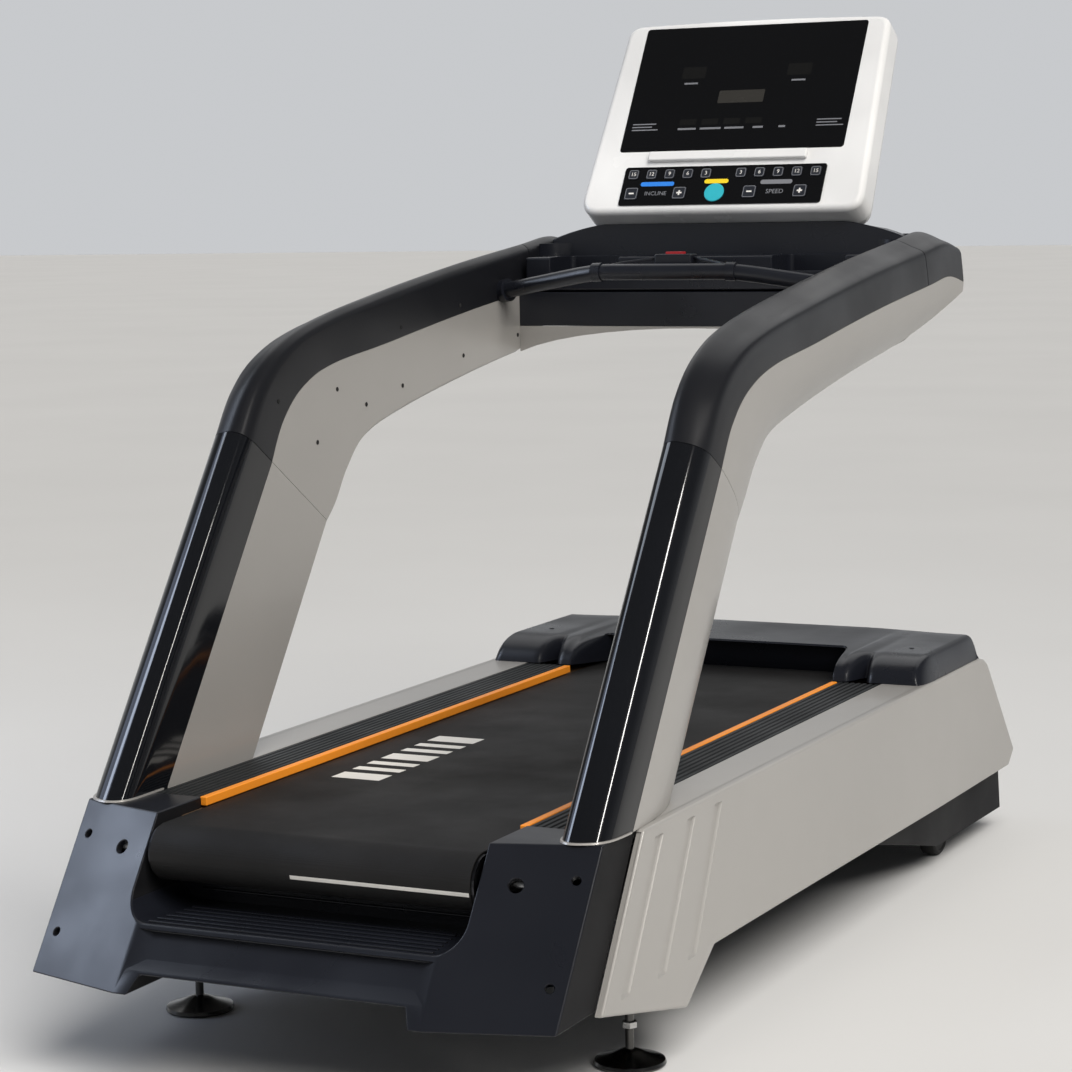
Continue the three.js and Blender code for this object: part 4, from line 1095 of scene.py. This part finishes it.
# ---------- feet and wheels ----------
SIDES = (("left", -1), ("right", 1))
UP, ACROSS = (0, 0, 1), (1, 0, 0)
FOOT = [(0.5, 0), (52, 0), (57, 1.5), (58, 4), (56, 9), (46, 12), (30, 17), (20, 22), (12, 25), (7, 26),
        (7, 279), (0.5, 280)]
LOCK_NUT = [(0.5, 60), (13, 60), (13, 70), (0.5, 70)]
TYRE = [(9, -15), (38, -15), (40, -17), (45, -17), (49, -13.5), (50, -7), (50, 7), (49, 13.5), (45, 17),
        (40, 17), (38, 15), (9, 15)]


def feet():
    for name, s in SIDES:
        node, base = f"foot_{name}", at(s * 400, 412, 0)
        pad = painted(lathe("foot", FOOT, base, UP, 56), "foot_metal")
        lock = painted(rounded(lathe("nut", LOCK_NUT, base, UP, 6), 0.8, 2), "zinc")
        piece(merged("foot", [pad, lock]), f"{node}_pad", "foot_metal", [node], body=node)


def front_wheels():
    for name, s in SIDES:
        node, hub = f"front_wheel_{name}", at(s * 392, 1950, 50)
        wheel = lathe("wheel", TYRE, hub, ACROSS, 56)
        cut(wheel, lathe("bore", [(8.6, -30), (8.6, 30)], hub, ACROSS, 32))
        piece(wheel, f"{node}_tyre", "rubber", [node], body=node)


def carried_over():
    """CAD nodes whose shape is right, with their edges eased."""
    edges = {"main_frame": 1.2, "lower_pan": 1.0, "bridge_lip": 0.8, "incline_arm": 1.0,
             "incline_motor": 2.0, "motor_controller": 1.5, "drive_motor": 1.5}
    bodies = {n: b for b, members in frame["record"]["behaviour"]["bodies"].items() for n in members}
    for node, width in edges.items():
        obj = refined(node, width)
        if node == "lower_pan":
            painted(obj, "pan")
        piece(obj, f"{node}_eased", SLOTS[node], [node], body=bodies[node])


# ---------- stage ----------
CAMERA = {"place": (2.2039, -4.6629, 1.3603), "yaw": 26.2257, "pitch": -6.8178, "roll": -1.1027,
          "lens": 95.54, "sensor": 36}


def camera():
    data = bpy.data.cameras.new("camera")
    data.lens = CAMERA["lens"]
    data.sensor_width = CAMERA["sensor"]
    obj = placed("camera", data)
    yaw, pitch, roll = (math.radians(CAMERA[k]) for k in ("yaw", "pitch", "roll"))
    forward = Vector((-math.sin(yaw) * math.cos(pitch), math.cos(yaw) * math.cos(pitch), math.sin(pitch)))
    right = Vector((math.cos(yaw), math.sin(yaw), 0))
    up = right.cross(forward)
    turned = right * math.cos(roll) + up * math.sin(roll)
    upward = up * math.cos(roll) - right * math.sin(roll)
    basis = Matrix((turned, upward, -forward)).transposed().to_4x4()
    obj.matrix_world = Matrix.Translation(Vector(CAMERA["place"])) @ basis
    bpy.context.scene.camera = obj


def softbox(name, place, target, size, power, color=(1, 1, 1), diffuse=True):
    """A lit rectangle that faces target. Without diffuse it only shows in reflections."""
    data = bpy.data.lights.new(name, "AREA")
    data.shape = "RECTANGLE"
    data.size, data.size_y = size
    data.energy = power
    data.color = color
    obj = placed(name, data)
    obj.location = place
    obj.rotation_euler = (Vector(target) - Vector(place)).to_track_quat("-Z", "Y").to_euler()
    obj.visible_camera = False
    obj.visible_diffuse = diffuse


def far_light(name, direction, strength, angle, color):
    """Soft light from far off, even over the whole floor."""
    data = bpy.data.lights.new(name, "SUN")
    data.energy = strength
    data.angle = math.radians(angle)
    data.color = color
    obj = placed(name, data)
    obj.rotation_euler = (-Vector(direction)).to_track_quat("-Z", "Y").to_euler()
    obj.visible_glossy = False


def backdrop():
    """Pale towards the back of the set, darker elsewhere, and dim overhead."""
    world = bpy.data.worlds.new("studio")
    world.use_nodes = True
    bpy.context.scene.world = world
    nodes, links = world.node_tree.nodes, world.node_tree.links

    def ramp(source, low, high, start, end):
        node = nodes.new("ShaderNodeMapRange")
        node.interpolation_type = "SMOOTHSTEP"
        for key, value in (("From Min", low), ("From Max", high), ("To Min", start), ("To Max", end)):
            node.inputs[key].default_value = value
        links.new(source, node.inputs["Value"])
        return node

    place = nodes.new("ShaderNodeTexCoord").outputs["Generated"]
    split = nodes.new("ShaderNodeSeparateXYZ")
    links.new(place, split.inputs["Vector"])
    ahead = nodes.new("ShaderNodeVectorMath")
    ahead.operation = "DOT_PRODUCT"
    ahead.inputs[1].default_value = (-0.44, 0.9, 0.0)
    links.new(place, ahead.inputs[0])
    horizon = ramp(ahead.outputs["Value"], 0.1, 0.8, 0.3, 0.64)
    height = ramp(split.outputs["Z"], 0.08, 0.42, 1.0, 0.12)
    links.new(horizon.outputs["Result"], height.inputs["To Min"])
    sky = nodes["Background"]
    sky.inputs["Color"].default_value = (0.90, 0.92, 0.95, 1)
    links.new(height.outputs["Result"], sky.inputs["Strength"])


def studio():
    backdrop()
    bpy.context.scene.view_settings.view_transform = "Standard"
    warm, cool, cold, blue = (1.0, 0.97, 0.93), (0.8, 0.88, 1.0), (0.72, 0.82, 1.0), (0.64, 0.74, 1.0)
    far_light("key", (0.52, -0.42, 0.84), 3.3, 45, warm)
    softbox("glint", (2.6, -1.5, 2.5), (0, -0.1, 0.5), (0.12, 1.3), 24, warm)
    softbox("left_strip", (-4.3, -2.0, 3.0), (-0.43, -0.8, 0.7), (1.0, 2.0), 42, cold, diffuse=False)
    softbox("left_fill", (-3.8, -1.6, 2.2), (0, -0.6, 0.7), (2.2, 2.4), 20, blue)
    softbox("nose_fill", (-3.0, -0.6, 3.4), (0.4, -0.6, 0.9), (1.2, 1.2), 15, cool)
    softbox("overhead", (-1.0, 3.6, 4.6), (0, 0.4, 0.2), (7.0, 5.0), 85, diffuse=False)
    corners = [(FLOOR_REACH * x, FLOOR_REACH * y, 0) for x, y in ((-1, -1), (1, -1), (1, 1), (-1, 1))]
    floor = raw("floor", corners, [(0, 1, 2, 3)])
    painted_floor = Shader("floor", (0.66, 0.66, 0.655), 0.7).mottle(0.6, 0.02)
    floor.data.materials.append(painted_floor.grain(120.0, 0.05).material)


camera()
studio()
running_belt()
belt_marks()
treads()
rear_cover()
side_panel()
motor_hood()
uprights()
bridge_cover()
handlebar()
console_housing()
console_display()
keypad()
feet()
front_wheels()
carried_over()
